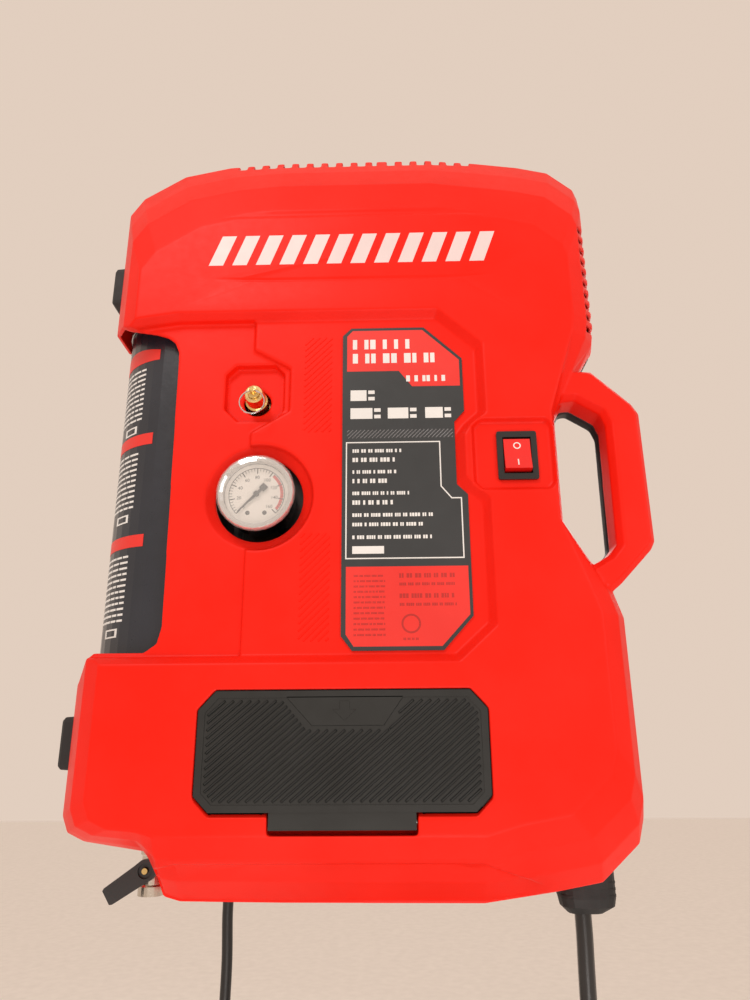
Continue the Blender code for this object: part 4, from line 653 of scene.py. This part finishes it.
rng = random.Random(7)
bm = bmesh.new()
words(bm, rng, 2.0, 77.0, 46.0, 7.5, PRINT, PRINT_TOP, 15.0)
words(bm, rng, 2.0, 66.0, 60.0, 7.5, PRINT, PRINT_TOP, 17.0)
words(bm, rng, 39.0, 50.0, 32.0, 4.6, PRINT, PRINT_TOP, 9.0)
for x, width in ((0.5, 11.0), (0.5, 15.0), (26.0, 14.0), (51.5, 12.0)):
    z = 37.5 if (x, width) == (0.5, 11.0) else 24.0
    slab(bm, rectangle(x, x + width, z - 4.0, z + 4.0), UNDER_PRINT, PRINT)
    for dz in (-2.4, 2.4):
        unit = rectangle(x + width + 1.2, x + width + 5.6, z + dz - 1.3, z + dz + 1.3)
        slab(bm, unit, UNDER_PRINT, PRINT)
LINE_SIZES = (
    (34.0, 2.4), (30.0, 3.0), (30.0, 2.4), (24.0, 3.0), (38.0, 2.4),
    (28.0, 3.0), (54.0, 2.4), (46.0, 2.4), (52.0, 2.4),
)  # width and height of each line of print, from the top
WITHIN_PAIR, BETWEEN_PAIRS = 6.4, 8.6
row = -3.5
for line, (width, height) in enumerate(LINE_SIZES):
    words(bm, rng, 2.0, row, width, height, UNDER_PRINT, PRINT, 8.0)
    row -= WITHIN_PAIR if line % 2 == 0 else BETWEEN_PAIRS
slab(bm, rectangle(2.0, 22.5, -74.5, -69.5), UNDER_PRINT, PRINT)
frame_outline = [
    (-2.5, 3.0), (61.0, 3.0), (61.0, -29.0), (67.5, -37.0),
    (74.0, -37.0), (74.0, -78.0), (-2.5, -78.0),
]
inner_outline = shrunk(frame_outline, 0.8)
for i, here in enumerate(frame_outline):
    j = (i + 1) % len(frame_outline)
    slab(bm, [here, frame_outline[j], inner_outline[j], inner_outline[i]], UNDER_PRINT, PRINT)
piece("label_white_print", bm, "print_white")

bm = bmesh.new()
ribs(bm, [rectangle(-2.0, 70.0, 5.5, 12.0)], 45.0, 1.9, 0.5, UNDER_PRINT, PRINT)
piece("label_hatch_band", bm, "dark_steel")

bm = bmesh.new()
for i in range(12):
    words(bm, rng, 3.0, -89.0 - 3.4 * i, 20.0, 1.2, PRINT, PRINT_TOP, 5.0)
for z in (-89.0, -94.5, -102.0, -107.5):
    words(bm, rng, 32.0, z, 36.0, 2.8 if z in (-89.0, -102.0) else 1.8, PRINT, PRINT_TOP, 9.0)
slab(bm, band(39.0, -119.5, 4.9, 6.1, 0.0, 359.0, 32), PRINT, PRINT_TOP)
words(bm, rng, 34.0, -129.0, 10.0, 1.4, PRINT, PRINT_TOP, 5.0)
piece("label_dark_print", bm, "label_dark_red")

# ---------------------------------------------------------------- tank label
tank_low, tank_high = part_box("air_tank")
TANK_X = (tank_low.x + tank_high.x) / 2 / MM
TANK_Y = (tank_low.y + tank_high.y) / 2 / MM
TANK_RADIUS = (tank_high.x - tank_low.x) / 2 / MM


def tank_patch(bm, start, end, z0, z1, proud, bow=0.0):
    """A thin printed patch on the tank; angles run from the front towards the left."""
    count = max(1, int((end - start) / 5.0))
    top, bottom = [], []
    for i in range(count + 1):
        share = i / count
        a = math.radians(start + (end - start) * share)
        lift = bow * math.sin(math.pi * share)
        for radius, row in ((TANK_RADIUS + proud, top), (TANK_RADIUS - 0.2, bottom)):
            x, y = TANK_X - radius * math.sin(a), TANK_Y - radius * math.cos(a)
            row.append([bm.verts.new((x, y, z0)), bm.verts.new((x, y, z1 + lift))])
    for i in range(count):
        for row in (top, bottom):
            bm.faces.new((row[i][0], row[i + 1][0], row[i + 1][1], row[i][1]))
        for k in (0, 1):
            bm.faces.new((top[i][k], top[i + 1][k], bottom[i + 1][k], bottom[i][k]))
    for i in (0, count):
        bm.faces.new((top[i][0], top[i][1], bottom[i][1], bottom[i][0]))


bm = bmesh.new()
for z0, z1, bow in ((76.0, 84.0, 4.0), (10.0, 18.5, 0.0), (-64.0, -55.5, 0.0)):
    tank_patch(bm, 14.0, 88.0, z0, z1, 0.12, bow)
piece("tank_label_red", bm, "label_red", smooth=30)
TANK_LINE_PITCH = 3.9
TANK_PRINT = 0.14  # how far the print stands off the tank
bm = bmesh.new()
for top, count in ((70.0, 11), (4.0, 11), (-70.0, 12)):
    for line in range(count):
        z = top - TANK_LINE_PITCH * line
        here = 28.0
        while here < 72.0:
            length = rng.uniform(4.0, 11.0)
            tank_patch(bm, here, min(76.0, here + length), z - 0.7, z + 0.7, TANK_PRINT)
            here += length + 1.6
    badge = top - TANK_LINE_PITCH * count - 4.0
    for dz, half, start, end in (
        (2.4, 0.5, 34.0, 50.0), (-2.4, 0.5, 34.0, 50.0), (0.0, 2.9, 33.0, 35.5), (0.0, 2.9, 48.5, 51.0)
    ):
        tank_patch(bm, start, end, badge + dz - half, badge + dz + half, TANK_PRINT)
piece("tank_label_lines", bm, "print_white", smooth=30)

# ---------------------------------------------------------------- storage door
DOOR = [(-79.5, -160.0), (73.0, -160.0), (83.0, -171.0), (83.0, -219.0), (74.0, -228.0), (-80.5, -228.0),
        (-89.5, -219.0), (-89.5, -171.0)]
bm = bmesh.new()
field = shrunk(DOOR, 5.5)
GRIP_CUT = [(-39.0, -165.5), (35.0, -165.5), (24.5, -182.5), (-24.5, -182.5)]
ribs(bm, [field, GRIP_CUT], 40.0, 3.3, 0.95, 0.2, -1.0)
piece("door_ribs", bm, "door_plastic", "door", smooth=30)
bm = bmesh.new()
rim_in = shrunk(DOOR, 4.0)
for i, here in enumerate(DOOR):
    j = (i + 1) % len(DOOR)
    slab(bm, [here, DOOR[j], rim_in[j], rim_in[i]], 0.3, -0.45)
slab(bm, [(-38.0, -163.0), (34.0, -163.0), (21.5, -180.5), (-21.5, -180.5)], 0.3, -0.45, 0.5)
arrow = [
    (-5.0, -166.0), (1.0, -166.0), (1.0, -171.0), (5.0, -171.0),
    (-2.0, -177.5), (-9.0, -171.0), (-5.0, -171.0),
]
slab(bm, arrow, -0.3, -0.75, 0.2)
piece("door_rim_and_grip", bm, "door_plastic", "door", smooth=30)

# ---------------------------------------------------------------- gauge
case_low, case_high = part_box("gauge_case")
GAUGE_X = (case_low.x + case_high.x) / 2 / MM
GAUGE_Z = ((case_low.z + case_high.z) / 2 - DATUM) / MM
DIAL = (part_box("gauge_dial")[0].y / MM) - FRONT_Y
INK_BACK, INK_FACE = DIAL + 0.05, DIAL - 0.12
# Radii on the dial: inner ends of the ticks, the scale's arc, and the middle of the numerals.
MAJOR_TICK, MINOR_TICK, SCALE_RADIUS, NUMERAL_RADIUS = 14.6, 16.2, 18.2, 11.9
ZERO_ANGLE, SCALE_SWEEP, MAJORS, MINORS = 225.0, 270.0, 8, 5
bm = bmesh.new()
for i in range(MAJORS * MINORS + 1):
    angle = math.radians(ZERO_ANGLE - SCALE_SWEEP * i / (MAJORS * MINORS))
    major = i % MINORS == 0
    out = Vector((math.cos(angle), math.sin(angle)))
    across = Vector((-out.y, out.x)) * (0.32 if major else 0.16)
    inner, outer = (MAJOR_TICK if major else MINOR_TICK), SCALE_RADIUS
    hub = Vector((GAUGE_X, GAUGE_Z))
    corners = [
        hub + out * inner - across,
        hub + out * outer - across,
        hub + out * outer + across,
        hub + out * inner + across,
    ]
    slab(bm, [tuple(c) for c in corners], INK_BACK, INK_FACE)
slab(bm, band(GAUGE_X, GAUGE_Z, SCALE_RADIUS, 18.55, -45.0, 270.0, 64), INK_BACK, INK_FACE)
for x in (-5.6, 5.6):
    slab(bm, ring_of(GAUGE_X + x, GAUGE_Z - 12.6, 1.5, 20), INK_BACK, INK_FACE)
piece("dial_scale", bm, "print_black")
bm = bmesh.new()
slab(bm, band(GAUGE_X, GAUGE_Z, 15.6, 17.6, -38.0, 88.0, 32), DIAL + 0.03, DIAL - 0.07)
piece("dial_red_arc", bm, "dial_red")


def numeral(text, x, z, height):
    """A printed number on the dial, as a thin mesh."""
    curve = bpy.data.curves.new("numeral_" + text, "FONT")
    curve.body = text
    curve.size = height * 1.35
    curve.align_x = "CENTER"
    curve.align_y = "CENTER"
    curve.extrude = 0.05
    source = bpy.data.objects.new("numeral_" + text, curve)
    bpy.context.scene.collection.objects.link(source)
    graph = bpy.context.evaluated_depsgraph_get()
    mesh = bpy.data.meshes.new_from_object(source.evaluated_get(graph))
    bpy.data.objects.remove(source)
    mesh.transform(Matrix.Rotation(math.radians(90.0), 4, "X"))
    mesh.transform(Matrix.Translation((x, FRONT_Y + DIAL - 0.06, z)))
    return mesh


bm = bmesh.new()
for i in range(MAJORS + 1):
    angle = math.radians(ZERO_ANGLE - SCALE_SWEEP * i / MAJORS)
    x, z = GAUGE_X + NUMERAL_RADIUS * math.cos(angle), GAUGE_Z + NUMERAL_RADIUS * math.sin(angle)
    bm.from_mesh(numeral(str(20 * i), x, z, 2.3))
piece("dial_numerals", bm, "print_black")

bm = bmesh.new()
# The film from the bezel's side to the middle of its face: radius, and depth from the housing's front.
FILM_RINGS = (
    (25.6, 1.2), (25.9, -1.4), (24.8, -3.2), (21.5, -3.25), (14.0, -2.7), (7.0, -2.6), (1.0, -2.7)
)
FILM_THICKNESS = 0.00008
SPOKES = 96
film_rows = []
for radius, depth in FILM_RINGS:
    row = []
    for i in range(SPOKES):
        a = 2 * math.pi * i / SPOKES
        spot = Vector((math.cos(a) * radius, math.sin(a) * radius, depth))
        crumple = noise.noise(spot * 0.22) + 0.5 * noise.noise(spot * 0.55)
        edge = 1.1 if radius > 20 else 0.7
        x = GAUGE_X + math.cos(a) * (radius + (0.35 * crumple if radius > 22 else 0.0))
        row.append(bm.verts.new((x, FRONT_Y + depth - edge * abs(crumple), GAUGE_Z + math.sin(a) * radius)))
    film_rows.append(row)
for low, high in zip(film_rows, film_rows[1:]):
    for i in range(SPOKES):
        j = (i + 1) % SPOKES
        bm.faces.new((low[i], low[j], high[j], high[i]))
bm.faces.new(film_rows[-1])
film = piece("gauge_film", bm, "film", smooth=180)
skin = film.modifiers.new("skin", "SOLIDIFY")
skin.thickness = FILM_THICKNESS

# ---------------------------------------------------------------- switch
rocker_low, rocker_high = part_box("switch_rocker")
SWITCH_X = (rocker_low.x + rocker_high.x) / 2 / MM


def on_rocker(z):
    """Depth of the rocker's face at a height, from its three corner points."""
    corners = [(11.6, 2.9), (-1.5, 1.1), (-10.4, -1.1)]
    for (z0, d0), (z1, d1) in zip(corners, corners[1:]):
        if z1 <= z <= z0:
            return d0 + (d1 - d0) * (z0 - z) / (z0 - z1)
    return corners[0][1]


ROCKER_DATUM = -9.0  # the height of the rocker's pivot
RING_HEIGHT = 6.6  # the O mark above the pivot
bm = bmesh.new()
outer_ring = ring_of(0.0, 0.0, 2.5, 28)
inner_ring = ring_of(0.0, 0.0, 1.75, 28)
for i, here in enumerate(outer_ring):
    j = (i + 1) % len(outer_ring)
    quad = [here, outer_ring[j], inner_ring[j], inner_ring[i]]
    rings = []
    for lift in (0.1, -0.12):
        rings.append([
            (SWITCH_X + x, FRONT_Y + on_rocker(RING_HEIGHT + z) + lift, ROCKER_DATUM + RING_HEIGHT + z)
            for x, z in quad
        ])
    loft(bm, rings)
bar = rectangle(-0.4, 0.4, -8.0, -3.6)
rings = [
    [(SWITCH_X + x, FRONT_Y + on_rocker(z) + lift, ROCKER_DATUM + z) for x, z in bar] for lift in (0.1, -0.12)
]
loft(bm, rings)
piece("rocker_marks", bm, "print_white", "rocker")

# ---------------------------------------------------------------- small fittings
coupler_low, coupler_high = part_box("coupler_sleeve")
sleeve_x = (coupler_low.x + coupler_high.x) / 2 / MM
sleeve_y = (coupler_low.y + coupler_high.y) / 2 / MM
KNURLS, KNURL_CIRCLE = 28, 12.25
bm = bmesh.new()
for i in range(KNURLS):
    a = 2 * math.pi * i / KNURLS
    x, y = sleeve_x + KNURL_CIRCLE * math.cos(a), sleeve_y + KNURL_CIRCLE * math.sin(a)
    z0, z1 = (coupler_low.z - DATUM) / MM + 3.4, (coupler_high.z - DATUM) / MM - 2.4
    turned(bm, (x, y, z0), "Z", [(0.55, 0.0), (0.55, z1 - z0)], 6)
piece("sleeve_knurl", bm, "nickel", "sleeve", smooth=40)

BOOT_X = 149.0
RIDGE_HALF_X, RIDGE_HALF_Y, RIDGE_HEIGHT = 18.1, 14.1, 1.2
SQUARENESS = 2 / 3.2  # exponent of the boot's rounded square section
bm = bmesh.new()
for z in (-283.2, -279.4, -275.6):
    ridge = []
    for i in range(40):
        a = 2 * math.pi * i / 40
        px = math.copysign(abs(math.cos(a)) ** SQUARENESS, math.cos(a)) * RIDGE_HALF_X
        py = math.copysign(abs(math.sin(a)) ** SQUARENESS, math.sin(a)) * RIDGE_HALF_Y
        ridge.append((BOOT_X + px, HOSE_Y + py))
    loft(bm, [[(x, y, z) for x, y in ridge], [(x, y, z + RIDGE_HEIGHT) for x, y in ridge]])
piece("boot_ridges", bm, "rubber", smooth=50)

bm = bmesh.new()
for i in range(5):
    z = -282.2 - 1.9 * i
    radius = 8.0 - 0.55 * i
    turned(bm, (CORD_X, CORD_Y, z), "Z", [(radius, 0.0), (radius + 0.25, -0.5), (radius, -1.0)], 24)
piece("gland_ribs", bm, "rubber", smooth=60)

# ---------------------------------------------------------------- materials of the CAD nodes
LOOKS = {
    "wall_bracket": "bracket_paint", "bracket_screw_left": "steel", "bracket_screw_right": "steel",
    "wall_bumper": "rubber", "storage_bin": "black_shell", "access_door": "door_plastic",
    "door_hinge_pin": "steel", "rating_label": "label_black", "switch_housing": "switch_black",
    "switch_rocker": "rocker_red", "gauge_case": "chrome", "gauge_dial": "dial_face",
    "gauge_pointer": "print_black", "gauge_lens": "lens", "manifold_block": "brass",
    "relief_valve_body": "brass", "relief_pin": "brass", "relief_ring": "chrome", "air_tank": "tank_paint",
    "tank_strap_top": "steel", "tank_strap_bottom": "steel", "check_valve": "brass",
    "drain_valve_body": "nickel", "drain_valve_ball": "brass", "drain_valve_lever": "black_shell",
    "motor_stator": "laminations", "motor_rotor": "steel", "motor_frame": "cast_aluminium",
    "bearing_front": "steel", "bearing_rear": "steel", "motor_mount_lower": "rubber",
    "motor_mount_upper": "rubber", "cooling_fan": "black_shell", "eccentric": "dark_steel",
    "connecting_rod": "cast_aluminium", "pump_cylinder": "cast_aluminium", "valve_plate": "steel",
    "cylinder_head": "cast_aluminium", "intake_filter": "black_shell", "discharge_pipe": "copper",
    "pressure_switch": "switch_black", "supply_hose": "hose_rubber", "hose_boot": "rubber",
    "coupler_body": "brass", "coupler_sleeve": "nickel", "cord_gland": "rubber", "plug_body": "cord_jacket",
    "plug_blade_left": "brass", "plug_blade_right": "brass", "plug_ground_pin": "brass",
}
for corner in ("front_top", "front_bottom", "rear_top", "rear_bottom"):
    LOOKS["side_foot_" + corner] = "rubber"
# Widths of the rounded edges of the plain fittings, in millimetres.
EDGES = {
    "side_foot_front_top": 0.5, "side_foot_front_bottom": 0.5, "side_foot_rear_top": 0.5,
    "side_foot_rear_bottom": 0.5, "wall_bracket": 0.4, "switch_housing": 0.5, "switch_rocker": 0.45,
    "drain_valve_lever": 0.6, "access_door": 0.4, "plug_body": 0.8, "hose_boot": 0.9, "pressure_switch": 0.8,
    "motor_frame": 0.6, "cylinder_head": 0.6, "manifold_block": 0.5, "storage_bin": 0.6,
}
for name, look in LOOKS.items():
    node = NODES[name]
    node.data.materials.clear()
    node.data.materials.append(MATERIALS[look])
    if name in EDGES:
        bevel = node.modifiers.new("edges", "BEVEL")
        bevel.width = EDGES[name] * MM
        bevel.segments = 2
        bevel.limit_method = "ANGLE"
        bevel.angle_limit = math.radians(35)


# ---------------------------------------------------------------- stage and light
def stage_plane(name, corners, look):
    mesh = bpy.data.meshes.new(name)
    mesh.from_pydata(corners, [], [(0, 1, 2, 3)])
    obj = bpy.data.objects.new(name, mesh)
    bpy.context.scene.collection.objects.link(obj)
    mesh.materials.append(look)
    obj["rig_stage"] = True
    return obj


HANGING_HEIGHT = 1.4  # the bracket above the floor
floor_look = surface("floor", (0.94, 0.91, 0.88), 0.8, grain=60.0, bump=0.3, mottle=0.04)
floor_corners = [(x, y, -HANGING_HEIGHT) for x, y in ((-12, -12), (12, -12), (12, 12), (-12, 12))]
stage_plane("floor", floor_corners, floor_look)

world = bpy.data.worlds.new("world")
world.use_nodes = True
world.node_tree.nodes["Background"].inputs["Color"].default_value = (0.76, 0.62, 0.52, 1.0)
world.node_tree.nodes["Background"].inputs["Strength"].default_value = 1.0
bpy.context.scene.world = world
bpy.context.scene.view_settings.view_transform = "Standard"


def area_light(name, location, target, size, power, colour):
    data = bpy.data.lights.new(name, "AREA")
    data.size = size
    data.energy = power
    data.color = colour
    lamp = bpy.data.objects.new(name, data)
    lamp.location = location
    lamp.rotation_euler = (Vector(target) - Vector(location)).to_track_quat("-Z", "Y").to_euler()
    bpy.context.scene.collection.objects.link(lamp)


area_light("key", (-0.6, -1.5, 1.3), (0.0, -0.1, -0.1), 0.5, 12.0, (1.0, 0.97, 0.94))
area_light("fill", (1.3, -1.5, 0.2), (0.0, -0.1, -0.15), 0.8, 5.0, (1.0, 0.97, 0.95))
area_light("low", (0.1, -1.2, -1.0), (0.0, -0.1, -0.3), 0.6, 5.0, (1.0, 0.96, 0.92))
area_light("behind", (0.6, 1.8, 0.9), (0.0, 0.0, -0.2), 1.4, 14.0, (1.0, 0.98, 0.96))

low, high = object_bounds()
